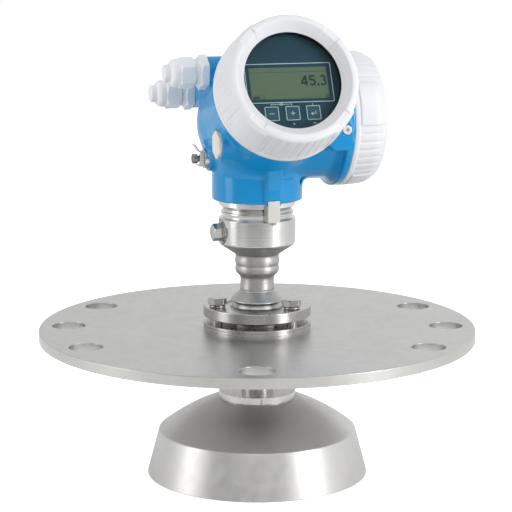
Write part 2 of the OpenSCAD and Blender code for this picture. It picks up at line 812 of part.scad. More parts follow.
module display_cover() {
    r = display_cover_d / 2;
    front_r = r - skirt_taper;
    lean = atan(skirt_taper / (display_shoulder - 4));
    color("whitesmoke") on_display_axis() translate([0, 0, display_back]) difference() {
        union() {
            rotate_extrude() polygon(concat(
                [[thread_r + cover_fit, 0], [r - 0.5, 0], [r, 0.5], [r, 4], [r - 0.5, 4.4]],
                arc([front_r - 4.2, display_shoulder], 4.2, 0, 90, 6),
                [[window_r + 6.6, display_cover_l], [window_r, window_edge], [window_r, pane_seat],
                 [pane_r + 0.2, pane_seat], [pane_r + 0.2, pane_seat - gasket_t - glass_t],
                 [retainer_r + 0.1, pane_seat - gasket_t - glass_t],
                 [retainer_r + 0.1, thread_depth + 1], [thread_r + cover_fit, thread_depth]]
            ));
            rotate([0, 0, display_land_turn]) grip_lands(r - 1.9, 5, display_cover_l - 8, 1.3);
        }
        rotate([0, 0, display_land_turn]) {
            grip_grooves(r - 0.4, 5.2, display_shoulder, lean);
            // pockets in the front face, one over each land
            ring_of(4) translate([pocket_r, -pocket_w / 2, display_cover_l - pocket_depth])
                cube([front_r, pocket_w, pocket_depth + 1]);
        }
        seal_groove();
    }
}

module seal_groove() {
    translate([0, 0, 1.2]) tube_cut(thread_r + cover_fit + cover_cord_d, cover_cord_d + 0.3);
}

// Ring-shaped cut outwards from the cover's thread
module tube_cut(r, h) {
    difference() {
        cylinder(r = r, h = h);
        translate([0, 0, -1]) cylinder(r = thread_r - 1, h = h + 2);
    }
}

module cover_seal() {
    translate([0, 0, 1.2 + cord_r + 0.15]) rotate_extrude()
        translate([thread_r + 0.05 + cord_r, 0]) circle(r = cord_r - 0.01, $fn = 32);
}

module display_cover_seal() {
    color("black") on_display_axis() translate([0, 0, display_back]) cover_seal();
}

module terminal_cover_seal() {
    color("black") on_terminal_axis() translate([0, 0, terminal_back]) cover_seal();
}

module window_gasket() {
    color("black") on_display_axis() translate([0, 0, display_back + pane_seat - gasket_t])
        tube(pane_r, window_r + 0.6, gasket_t);
}

module window_glass() {
    color("lightcyan", 0.35) on_display_axis()
        translate([0, 0, display_back + pane_seat - gasket_t - glass_t])
            cylinder(r = pane_r, h = glass_t);
}

module window_retainer() {
    color("dimgray") on_display_axis()
        translate([0, 0, display_back + pane_seat - gasket_t - glass_t - retainer_h]) difference() {
            tube(retainer_r, module_r + 0.8, retainer_h);
            ring_of(2) translate([retainer_r - 4, -1.5, -1]) cube([6, 3, 2.4]);
        }
}

terminal_land_turn = 104;

module terminal_cover() {
    r = terminal_cover_d / 2;
    l = terminal_cover_l;
    color("whitesmoke") on_terminal_axis() translate([0, 0, terminal_back]) difference() {
        union() {
            rotate_extrude() polygon([
                [0, l - 4.6], [r - 9, l - 4.6], [r - 9, thread_depth + 1],
                [thread_r + cover_fit, thread_depth], [thread_r + cover_fit, 0],
                [r - 0.5, 0], [r, 0.5], [r, 3.6], [r - 1, 4.4], [r - 1.7, l - 8.5],
                [r - 4.6, l - 1.4], [r - 6, l], [r - 12, l], [r - 13, l - 1], [0, l - 1]
            ]);
            rotate([0, 0, terminal_land_turn]) grip_lands(r - 1.8, 5, l - 13.2, 1.4);
        }
        rotate([0, 0, terminal_land_turn]) grip_grooves(r - 1, 5.2, l - 2, 2);
        seal_groove();
    }
}

// ---------------------------------------------------------------- electronics and display

module electronics_module() {
    seat = display_rim - 4;
    body_r_out = bore_r - 9;
    color("dimgray") on_display_axis() difference() {
        union() {
            translate([0, 0, -6]) cylinder(r = body_r_out, h = module_s + 6);
            translate([0, 0, seat]) cylinder(r = bore_r - 0.2, h = 3);
        }
        translate([0, 0, -4]) cylinder(r = body_r_out - 2, h = module_s - 2);
        ring_of(3, 30) translate([bore_r - 2.4, 0, seat - 1]) cylinder(r = 1.7, h = 6);
    }
}

module in_lcd(z) {
    translate([lcd_at[0], lcd_at[1], z]) children();
}

module at_key(i) {
    on_display_axis() translate([key_at[0] + i * key_pitch, key_at[1], face_s]) children();
}

module display_module() {
    color("darkslategray") on_display_axis() difference() {
        translate([0, 0, module_s]) cylinder(r = module_r, h = module_h);
        in_lcd(overlay_s - lcd_t - lcd_sink + overlay_t)
            translate([-lcd_size[0] / 2 - 0.4, -lcd_size[1] / 2 - 0.4, 0])
                cube([lcd_size[0] + 0.8, lcd_size[1] + 0.8, lcd_t + 2]);
        for (i = [-1 : 1])
            translate([key_at[0] + i * key_pitch, key_at[1], overlay_s - key_well])
                translate([-key_size[0] / 2 - key_gap, -key_size[1] / 2 - key_gap, 0])
                    cube([key_size[0] + 2 * key_gap, key_size[1] + 2 * key_gap, key_well + 1]);
    }
}

module display_overlay() {
    lip = 1;
    color("darkslategray") on_display_axis() difference() {
        translate([0, 0, overlay_s]) cylinder(r = module_r, h = overlay_t);
        in_lcd(overlay_s - 1)
            translate([-lcd_size[0] / 2 + lip, -lcd_size[1] / 2 + lip, 0])
                cube([lcd_size[0] - 2 * lip, lcd_size[1] - 2 * lip, overlay_t + 2]);
        in_lcd(overlay_s - 1)
            translate([-lcd_size[0] / 2 - 0.4, -lcd_size[1] / 2 - 0.4, 0])
                cube([lcd_size[0] + 0.8, lcd_size[1] + 0.8, overlay_t - lcd_sink + 1]);
        for (i = [-1 : 1])
            translate([key_at[0] + i * key_pitch, key_at[1], overlay_s - 1])
                translate([-key_size[0] / 2 - key_gap, -key_size[1] / 2 - key_gap, 0])
                    cube([key_size[0] + 2 * key_gap, key_size[1] + 2 * key_gap, overlay_t + 2]);
    }
}

module lcd_panel() {
    color("darkseagreen") on_display_axis() in_lcd(face_s - lcd_sink - lcd_t)
        translate([-lcd_size[0] / 2, -lcd_size[1] / 2, 0]) cube([lcd_size[0], lcd_size[1], lcd_t]);
}

module key(i) {
    color("darkslategray") at_key(i) translate([0, 0, key_lift - key_h])
        round_prism(key_size[0], key_size[1], key_h, 0.8);
}

module key_minus() {
    key(-1);
}

module key_plus() {
    key(0);
}

module key_enter() {
    key(1);
}

// ---------------------------------------------------------------- terminals

terminal_count = 6;
terminal_pitch = 8.4;
terminal_floor = partition + wall;

module on_terminal(i) {
    on_terminal_axis() translate([0, (i - (terminal_count - 1) / 2) * terminal_pitch, terminal_floor])
        children();
}

module terminal_block() {
    block_l = terminal_count * terminal_pitch + 4;
    color("darkolivegreen") difference() {
        on_terminal_axis() translate([0, 0, terminal_floor]) {
            cylinder(r = bore_r - 0.2, h = 3);
            translate([-8, -block_l / 2, 0]) cube([12, block_l, 16]);
            translate([3, -block_l / 2, 0]) cube([9, block_l, 10]);
        }
        for (i = [0 : terminal_count - 1]) on_terminal(i) {
            translate([-2, 0, 8]) cylinder(r = 2.9, h = 10);
            translate([3, -2.4, 5]) cube([10, 4.8, 3.6]);
        }
    }
}

module terminal_screws() {
    color("silver") for (i = [0 : terminal_count - 1]) on_terminal(i) translate([-2, 0, 8]) difference() {
        cylinder(r = 2.8, h = 6);
        translate([-3, -0.4, 5]) cube([6, 0.8, 2]);
    }
}

// ---------------------------------------------------------------- cable glands and ground

module gland_body() {
    stub = 9;
    color("whitesmoke") difference() {
        union() {
            translate([0, 0, -stub]) cylinder(r = entry_r - 0.02, h = stub + 1);
            hex_head(gland_af, gland_hex_h);
            cylinder(r = gland_shaft_r + 1.4, h = gland_hex_h + gland_neck_h - 0.4);
            cylinder(r = gland_shaft_r, h = gland_shaft_top);
        }
        translate([0, 0, -stub - 1]) cylinder(r = gland_bore_r, h = stub + gland_shaft_top + 2);
    }
}

gland_travel = 3;
gland_gap = 0.3;

// Cap nut: hexagon, round dome and mouth
module gland_nut() {
    dome_z = gland_nut_h;
    flat_r = gland_nut_af / 2;
    color("whitesmoke") translate([0, 0, gland_nut_z]) difference() {
        union() {
            hex_head(gland_nut_af, gland_nut_h, true);
            translate([0, 0, dome_z]) rotate_extrude() polygon(concat(
                [[0, -1], [flat_r - 0.2, -1], [flat_r - 0.2, 0.6]],
                arc([flat_r - 4.6, gland_dome_h - 4.9], 4.4, 8, 84, 6),
                [[gland_mouth_d / 2, gland_dome_h], [0, gland_dome_h]]
            ));
        }
        translate([0, 0, -1])
            cylinder(r = gland_shaft_r + 0.1, h = 1 + gland_shaft_top - gland_nut_z + gland_travel);
        translate([0, 0, -1]) cylinder(r = gland_mouth_d / 2, h = gland_nut_h + gland_dome_h + 2);
    }
}

seal_h = 7;

// Rubber insert that the cap nut squeezes round the cable or the plug
module gland_seal() {
    color("dimgray") translate([0, 0, gland_shaft_top + gland_gap])
        tube(gland_mouth_d / 2 - 0.2, gland_bore_r - 1.4, seal_h);
}

module gland_plug() {
    plug_r = gland_bore_r - 1.4;
    head_r = gland_mouth_d / 2 - 0.3;
    low = gland_shaft_top - 6;
    color("whitesmoke") translate([0, 0, low]) union() {
        cylinder(r = plug_r, h = gland_top - low);
        translate([0, 0, gland_top - low - 1.4]) rotate_extrude() polygon(concat(
            [[0, 0], [head_r, 0]], arc([head_r - 1.6, 3.6], 1.6, 0, 90, 4), [[0, 5.2]]
        ));
    }
}

module gland_body_front() {
    on_entry(entry_front, entry_rise) gland_body();
}

module gland_body_rear() {
    on_entry(entry_rear, entry_rise) gland_body();
}

module gland_nut_front() {
    on_entry(entry_front, entry_rise) gland_nut();
}

module gland_nut_rear() {
    on_entry(entry_rear, entry_rise) gland_nut();
}

module gland_seal_front() {
    on_entry(entry_front, entry_rise) gland_seal();
}

module gland_seal_rear() {
    on_entry(entry_rear, entry_rise) gland_seal();
}

module gland_plug_front() {
    on_entry(entry_front, entry_rise) gland_plug();
}

module gland_plug_rear() {
    on_entry(entry_rear, entry_rise) gland_plug();
}

module entry_plug() {
    color("beige") on_entry(plug_along, -plug_drop) {
        translate([0, 0, -9]) cylinder(r = entry_r - 0.02, h = 9.5);
        rotate([0, 0, 8]) hex_head(entry_plug_af, entry_plug_h);
    }
}

// Frame on the ground terminal's face, +Z outwards
module on_ground() {
    head() translate([-ground_face, 0, ground_z]) rotate([0, -90, 0]) children();
}

module ground_washer() {
    color("silver") on_ground() tube(7.6, 2.5, 3.2);
}

module ground_clamp() {
    color("silver") on_ground() translate([0, 0, 3.2]) difference() {
        union() {
            translate([-5.6, -4.4, 0]) cube([11.2, 8.8, 1]);
            translate([-5.6, -4.4, 0]) cube([1, 8.8, 4.4]);
            translate([4.6, -4.4, 0]) cube([1, 8.8, 3.4]);
            translate([5.5, -4.4, 2.6]) rotate([0, 32, 0]) translate([-1, 0, 0]) cube([1, 8.8, 6.6]);
        }
        translate([0, 0, -1]) cylinder(r = 2.5, h = 3);
    }
}

module ground_screw() {
    color("silver") on_ground() difference() {
        union() {
            translate([0, 0, -9]) cylinder(r = 2.45, h = 18);
            translate([0, 0, 4.2]) cylinder(r = 4.3, h = 1.2);
            translate([0, 0, 8]) cylinder(r = 4, h = 4);
        }
        translate([-5, -0.6, 10.4]) cube([10, 1.2, 3]);
    }
}

mounting_flange();
seat_ring();
clamp_plate();
clamp_bolts();
spring_washers();
seat_liner();
neck();
purge_plug();
purge_washer();
waveguide();
waveguide_bush();
waveguide_coupler();
neck_snap_ring();
swivel_seal();
drop_tube();
antenna_hub();
antenna_bell();
bell_nut();
feed_cone();
sub_reflector();
housing();
swivel_collar();
lock_claw();
claw_screw();
cover_lock_screw();
display_cover();
window_gasket();
window_glass();
window_retainer();
display_cover_seal();
electronics_module();
display_module();
display_overlay();
lcd_panel();
key_minus();
key_plus();
key_enter();
terminal_cover();
terminal_cover_seal();
terminal_block();
terminal_screws();
gland_body_front();
gland_body_rear();
gland_nut_front();
gland_nut_rear();
gland_seal_front();
gland_seal_rear();
gland_plug_front();
gland_plug_rear();
entry_plug();
ground_washer();
ground_clamp();
ground_screw();
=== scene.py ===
import json
import math
import bmesh
import bpy
import numpy as np
from mathutils import Matrix, Vector

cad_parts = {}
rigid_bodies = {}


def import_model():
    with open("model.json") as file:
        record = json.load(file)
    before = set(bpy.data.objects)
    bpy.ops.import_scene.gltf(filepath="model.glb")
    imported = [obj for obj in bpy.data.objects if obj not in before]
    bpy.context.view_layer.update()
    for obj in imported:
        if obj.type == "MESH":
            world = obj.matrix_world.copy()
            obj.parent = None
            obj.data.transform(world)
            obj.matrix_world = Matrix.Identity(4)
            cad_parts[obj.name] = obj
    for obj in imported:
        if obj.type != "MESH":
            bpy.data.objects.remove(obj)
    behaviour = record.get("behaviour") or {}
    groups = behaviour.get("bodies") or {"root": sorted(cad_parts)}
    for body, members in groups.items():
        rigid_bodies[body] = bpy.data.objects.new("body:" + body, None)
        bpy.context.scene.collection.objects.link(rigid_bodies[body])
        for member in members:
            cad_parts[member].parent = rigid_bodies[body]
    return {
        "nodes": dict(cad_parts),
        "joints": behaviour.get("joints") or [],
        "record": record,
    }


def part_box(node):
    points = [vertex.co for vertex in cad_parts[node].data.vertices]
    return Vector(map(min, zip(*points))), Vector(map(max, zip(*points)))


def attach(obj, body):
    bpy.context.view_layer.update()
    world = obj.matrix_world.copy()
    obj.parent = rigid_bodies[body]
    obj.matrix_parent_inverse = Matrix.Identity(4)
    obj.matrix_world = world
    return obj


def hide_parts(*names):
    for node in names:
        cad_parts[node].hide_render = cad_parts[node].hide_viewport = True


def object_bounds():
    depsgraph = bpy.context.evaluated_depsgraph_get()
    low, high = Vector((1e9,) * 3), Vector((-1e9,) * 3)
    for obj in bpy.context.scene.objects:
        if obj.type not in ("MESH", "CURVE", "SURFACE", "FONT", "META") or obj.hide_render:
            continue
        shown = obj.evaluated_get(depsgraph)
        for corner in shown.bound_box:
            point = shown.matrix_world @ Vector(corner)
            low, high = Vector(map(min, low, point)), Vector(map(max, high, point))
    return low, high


for stray in list(bpy.data.objects):
    bpy.data.objects.remove(stray)
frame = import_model()
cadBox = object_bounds()
print("frame loaded")

mm = 0.001
joints = {j["name"]: j for j in frame["joints"]}
bodyOf = {n: body for body, names in frame["record"]["behaviour"]["bodies"].items() for n in names}


def unit(v):
    return np.asarray(v, float) / np.linalg.norm(v)


# A set of axes: origin in metres and three unit directions. Points in mm are carried from it into the part.
def axes(origin, x, z):
    z = unit(z)
    x = unit(np.asarray(x, float) - np.dot(x, z) * z)
    return {"origin": np.asarray(origin, float), "x": x, "y": np.cross(z, x), "z": z}


def carried(points, at):
    p = np.asarray(points, float) * mm
    return at["origin"] + p[..., :1] * at["x"] + p[..., 1:2] * at["y"] + p[..., 2:3] * at["z"]


# The same axes with their origin moved, in mm along their own directions.
def shifted(at, dx=0, dy=0, dz=0):
    return {**at, "origin": carried(np.array([dx, dy, dz]), at)}


crossing = np.array(joints["display_lid_turn"]["pos_m"])
outward = unit(joints["display_lid_turn"]["axis"])      # out through the window
sideways = unit(joints["terminal_lid_turn"]["axis"])    # out through the terminal cover
upright = axes((0, 0, 0), (1, 0, 0), (0, 0, 1))
displayAxes = axes(crossing, sideways, outward)
terminalAxes = axes(joints["terminal_lid_turn"]["pos_m"], (0, 0, -1), sideways)
headAxes = axes(crossing, sideways, (0, 0, 1))


# Lowest and highest corner of a CAD node, in mm, measured along a set of axes.
def lowHigh(node, at=upright):
    vertices = frame["nodes"][node].data.vertices
    places = np.empty(len(vertices) * 3)
    vertices.foreach_get("co", places)
    p = (places.reshape(-1, 3) - at["origin"]) @ np.array([at["x"], at["y"], at["z"]]).T / mm
    return p.min(0), p.max(0)


# A grid of points, rows by columns, where columns run round and close on themselves.
# ring joins the last row to the first as well, so the surface is a closed tube.
def gridFaces(rows, cols, ring, start):
    i = np.arange(rows if ring else rows - 1)[:, None]
    j = np.arange(cols)[None, :]
    below, after = (i + 1) % rows, (j + 1) % cols
    quads = np.stack([i * cols + j, i * cols + after, below * cols + after, below * cols + j], -1)
    return quads.reshape(-1, 4) + start


# Every grid in the list goes into one mesh; points that meet are merged and faces turned outwards.
# openGrids holds points that come with their own faces.
def solidPiece(name, grids, body, node, material, sharp=32, openGrids=()):
    points, faces, start = [], [], 0
    for grid, ring in grids:
        rows, cols = grid.shape[:2]
        faces.append(gridFaces(rows, cols, ring, start))
        points.append(grid.reshape(-1, 3))
        start += rows * cols
    for verts, quads in openGrids:
        points.append(verts.reshape(-1, 3))
        faces.append(quads + start)
        start += len(verts.reshape(-1, 3))
    return meshPiece(name, np.concatenate(points), np.concatenate(faces), body, node, material, sharp)


# A mesh from points and faces, which rides on a body and stands for a CAD node where one is named.
def meshPiece(name, points, faces, body, node, material, sharp=32, merge=True):
    mesh = bpy.data.meshes.new(name)
    mesh.vertices.add(len(points))
    mesh.vertices.foreach_set("co", np.asarray(points, np.float32).ravel())
    mesh.loops.add(faces.size)
    mesh.loops.foreach_set("vertex_index", faces.ravel().astype(np.int32))
    mesh.polygons.add(len(faces))
    mesh.polygons.foreach_set("loop_start", np.arange(0, faces.size, faces.shape[1], dtype=np.int32))
    mesh.update(calc_edges=True)
    mesh.validate()
    if merge:
        work = bmesh.new()
        work.from_mesh(mesh)
        bmesh.ops.remove_doubles(work, verts=work.verts, dist=2e-6)
        bmesh.ops.dissolve_degenerate(work, edges=work.edges, dist=1e-6)
        bmesh.ops.recalc_face_normals(work, faces=work.faces)
        work.to_mesh(mesh)
        work.free()
    mesh.shade_smooth()
    mesh.set_sharp_from_angle(angle=math.radians(sharp))
    piece = bpy.data.objects.new(name, mesh)
    bpy.context.scene.collection.objects.link(piece)
    mesh.materials.append(material)
    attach(piece, body)
    if node:
        standFor(node)
    return piece


# The piece stands for the CAD node, which is hidden from view and render.
def standFor(node):
    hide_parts(node)


# A narrow bevel along every edge that turns by more than the given angle.
def roundEdges(piece, width, angle):
    soft = piece.modifiers.new("edgeRound", "BEVEL")
    soft.width, soft.segments, soft.limit_method = width * mm, 3, "ANGLE"
    soft.angle_limit = math.radians(angle)
    soft.harden_normals = True


# Outline corners cut back along both sides by the given length and bridged by a parabola.
def softened(outline, cut, steps=4, closed=True):
    p = np.asarray(outline, float)
    cut = np.broadcast_to(np.asarray(cut, float), len(p)).copy()
    before, after = np.roll(p, 1, 0) - p, np.roll(p, -1, 0) - p
    lengthB, lengthA = np.linalg.norm(before, axis=1), np.linalg.norm(after, axis=1)
    cut = np.minimum(cut, 0.46 * np.minimum(lengthB, lengthA))
    if not closed:
        cut[0] = cut[-1] = 0
    a = p + before / lengthB[:, None] * cut[:, None]
    b = p + after / lengthA[:, None] * cut[:, None]
    t = np.linspace(0, 1, steps + 1)[:, None, None]
    curve = (1 - t) ** 2 * a + 2 * t * (1 - t) * p + t ** 2 * b
    curve = curve.transpose(1, 0, 2).reshape(-1, 2)
    if not closed:
        curve = curve[steps:-steps]
    keep = np.r_[True, np.linalg.norm(np.diff(curve, axis=0), axis=1) > 1e-4]
    return curve[keep]


# An outline of radius and height turned about the axis: x = r cos a, y = r sin a.
def turned(outline, steps, at=upright, shape=None, ring=True):
    outline = np.asarray(outline, float)
    a = np.arange(steps) * 2 * math.pi / steps
    r = np.repeat(outline[:, :1], steps, 1)
    z = np.repeat(outline[:, 1:2], steps, 1)
    if shape is not None:
        r, z = shape(r, z, a[None, :])
    points = np.stack([r * np.cos(a), r * np.sin(a), z], -1)
    return carried(points, at), ring


# A hexagon bar with both its flats and the 30 degree cone that chamfers its corners.
# The wall stops where it meets the cone: h - (distance to the axis - cone radius) tan 30.
def hexBar(flats, low, high, at, turn, steps=192, both=False, inner=0.0, edge=0.35, corner=1.128,
           cone=0.975):
    a = np.arange(steps) * 2 * math.pi / steps
    toFlat = (a + math.pi / 6) % (math.pi / 3) - math.pi / 6
    wall = np.minimum(flats / 2 / np.cos(toFlat), flats / 2 * corner)
    cone = flats / 2 * cone
    over = np.maximum(wall - cone, 0) * math.tan(math.radians(30))
    low, high = low + 0 * a, high + 0 * a
    rim = np.minimum(wall, cone)
    rows = [(np.full(steps, inner), low)]
    if both:
        rows += [(rim, low), (wall, low + over + edge * 0.3)]
    else:
        rows += [(wall - edge * 0.3, low), (wall, low + edge * 0.3)]
    rows += [(wall, high - over - edge * 0.4), (wall - edge * 0.35, high - over - edge * 0.05),
             (rim - edge * 0.2, high - edge * 0.05), (rim - edge, high), (np.full(steps, inner), high)]
    r = np.array([row[0] for row in rows])
    z = np.array([row[1] for row in rows])
    b = a + turn
    points = np.stack([r * np.cos(b), r * np.sin(b), z], -1)
    return carried(points, at), inner > 0


# A strip bent to an outline in the x-z plane, carried straight along y from low to high, with flat ends.
def bentStrip(name, outline, low, high, at, node):
    count = len(outline)
    ends = [np.stack([outline[:, 0], np.full(count, y), outline[:, 1]], -1) for y in (low, high)]
    i = np.arange(count)
    j = (i + 1) % count
    faces = np.stack([i, j, j + count, i + count], -1).tolist() + [i[::-1].tolist(), (i + count).tolist()]
    mesh = bpy.data.meshes.new(name)
    mesh.from_pydata(carried(np.concatenate(ends), at).tolist(), [], faces)
    work = bmesh.new()
    work.from_mesh(mesh)
    bmesh.ops.recalc_face_normals(work, faces=work.faces)
    work.to_mesh(mesh)
    work.free()
    mesh.shade_smooth()
    mesh.set_sharp_from_angle(angle=math.radians(32))
    mesh.materials.append(looks[node])
    piece = bpy.data.objects.new(name, mesh)
    bpy.context.scene.collection.objects.link(piece)
    roundEdges(piece, 0.2, 60)
    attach(piece, bodyOf[node])
    standFor(node)


# A shared effect: a node group with named inputs and outputs.
def effect(name, inputs, outputs):
    tree = bpy.data.node_groups.new(name, "ShaderNodeTree")
    for label, kind, value in inputs:
        socket = tree.interface.new_socket(name=label, in_out="INPUT", socket_type="NodeSocket" + kind)
        if value is not None:
            socket.default_value = value
    for label, kind in outputs:
        tree.interface.new_socket(name=label, in_out="OUTPUT", socket_type="NodeSocket" + kind)
    return tree, tree.nodes.new("NodeGroupInput").outputs, tree.nodes.new("NodeGroupOutput").inputs


# One node; what is given for an input is either a socket to link or a plain value.
def node(tree, kind, links=None, **settings):
    made = tree.nodes.new("ShaderNode" + kind)
    for key, value in settings.items():
        setattr(made, key, value)
    for key, value in (links or {}).items():
        if isinstance(value, bpy.types.NodeSocket):
            tree.links.new(value, made.inputs[key])
        else:
            made.inputs[key].default_value = value
    return made


# Soft clouds between two values, for uneven colour and roughness.
cloud, given, result = effect("cloud", [("Vector", "Vector", None), ("Scale", "Float", 60.0),
                                        ("Low", "Float", 0.9), ("High", "Float", 1.1)], [("Value", "Float")])
noise = node(cloud, "TexNoise", {"Vector": given["Vector"], "Scale": given["Scale"], "Detail": 3.0})
spread = node(cloud, "MapRange", {"Value": noise.outputs[0], "From Min": 0.3, "From Max": 0.7,
                                  "To Min": given["Low"], "To Max": given["High"]})
cloud.links.new(spread.outputs[0], result["Value"])

# Fine bumps all over, as of cast, moulded or powder-painted surfaces.
grain, given, result = effect("grain", [("Vector", "Vector", None), ("Scale", "Float", 900.0),
                                        ("Strength", "Float", 0.1)], [("Normal", "Vector")])
noise = node(grain, "TexNoise", {"Vector": given["Vector"], "Scale": given["Scale"], "Detail": 2.0})
bump = node(grain, "Bump", {"Strength": given["Strength"], "Distance": 0.0004, "Height": noise.outputs[0]})
grain.links.new(bump.outputs[0], result["Normal"])

# Fine rings of a lathe tool: noise that depends on the distance from the axis and on the height only.
turning, given, result = effect("turning", [("Vector", "Vector", None), ("Scale", "Float", 2200.0),
                                            ("Strength", "Float", 0.1)],
                                [("Normal", "Vector"), ("Value", "Float")])
parts = node(turning, "SeparateXYZ", {"Vector": given["Vector"]})
flat = node(turning, "CombineXYZ", {"X": parts.outputs[0], "Y": parts.outputs[1], "Z": 0.0})
radius = node(turning, "VectorMath", {0: flat.outputs[0]}, operation="LENGTH")
rings = node(turning, "CombineXYZ", {"X": radius.outputs["Value"], "Y": 0.0, "Z": parts.outputs[2]})
noise = node(turning, "TexNoise", {"Vector": rings.outputs[0], "Scale": given["Scale"], "Detail": 2.0})
bump = node(turning, "Bump", {"Strength": given["Strength"], "Distance": 0.0002, "Height": noise.outputs[0]})
turning.links.new(bump.outputs[0], result["Normal"])
turning.links.new(noise.outputs[0], result["Value"])


# sRGB, 0 to 255, made linear: c / 12.92 near black, otherwise ((c + 0.055) / 1.055) to the power 2.4.
def linear(colour):
    c = np.asarray(colour, float) / 255
    return (*np.where(c <= 0.04045, c / 12.92, ((c + 0.055) / 1.055) ** 2.4), 1.0)


# Object coordinates carried into a set of axes, so that turned marks run round the piece's own axis.
def coordinates(tree, at):
    turn = np.array([at["x"], at["y"], at["z"]])
    where = node(tree, "TexCoord").outputs["Object"]
    return node(tree, "Mapping", {"Vector": where, "Location": tuple(-turn @ at["origin"]),
                                  "Rotation": Matrix(turn.tolist()).to_euler()}).outputs[0]


# Colour is in sRGB, 0 to 255. marks is turned, cast or none; tone is how far the colour clouds over.
# The last argument gives a height in metres, below which the finish is duller and the colour is darkened as
# painted shade; with it come how rough and how dark it gets there.
def surface(name, colour, rough, metal=0.0, marks="none", at=upright, scale=900.0, strength=0.1, tone=0.03,
            coat=0.0, gloss=0.5, satinAndShade=None):
    made = bpy.data.materials.new(name)
    made.use_nodes = True
    tree = made.node_tree
    shader = next(n for n in tree.nodes if n.type == "BSDF_PRINCIPLED")
    base = linear(colour)
    made.diffuse_color = base
    shader.inputs["Metallic"].default_value = metal
    shader.inputs["Specular IOR Level"].default_value = gloss
    if coat:
        shader.inputs["Coat Weight"].default_value = coat
        shader.inputs["Coat Roughness"].default_value = 0.12
    where = coordinates(tree, at)
    mask = node(tree, "Group", {"Vector": where, "Scale": 45.0, "Low": 0.0, "High": 1.0}, node_tree=cloud)
    mix = node(tree, "Mix", {"Factor": mask.outputs[0]}, data_type="RGBA")
    colours = [s for s in mix.inputs if s.type == "RGBA"]
    colours[0].default_value = tuple(c * (1 - tone) for c in base[:3]) + (1.0,)
    colours[1].default_value = tuple(min(c * (1 + tone), 1.0) for c in base[:3]) + (1.0,)
    tint = next(s for s in mix.outputs if s.type == "RGBA")
    uneven = node(tree, "Group", {"Vector": where, "Scale": 140.0, "Low": rough * 0.88, "High": rough * 1.12},
                  node_tree=cloud)
    roughness = uneven.outputs[0]
    if satinAndShade:
        edge, dull, dark = satinAndShade
        height = node(tree, "SeparateXYZ", {"Vector": where}).outputs[2]
        below = node(tree, "MapRange", {"Value": height, "From Min": edge - 0.0015, "From Max": edge + 0.0005,
                                        "To Min": 1.0, "To Max": 0.0}).outputs[0]
        roughness = node(tree, "MapRange", {"Value": below, "To Min": roughness, "To Max": dull}).outputs[0]
        # Below the height the colour is multiplied by the dark value: painted shade on the lower part, beside
        # the duller roughness.
        shade = node(tree, "Mix", {"Factor": below}, data_type="RGBA", blend_type="MULTIPLY")
        sockets = [s for s in shade.inputs if s.type == "RGBA"]
        tree.links.new(tint, sockets[0])
        sockets[1].default_value = (dark, dark, dark, 1)
        tint = next(s for s in shade.outputs if s.type == "RGBA")
    tree.links.new(tint, shader.inputs["Base Color"])
    tree.links.new(roughness, shader.inputs["Roughness"])
    if marks != "none":
        ground = node(tree, "Group", {"Vector": where, "Scale": scale, "Strength": strength},
                      node_tree=turning if marks == "turned" else grain)
        tree.links.new(ground.outputs["Normal"], shader.inputs["Normal"])
    return made


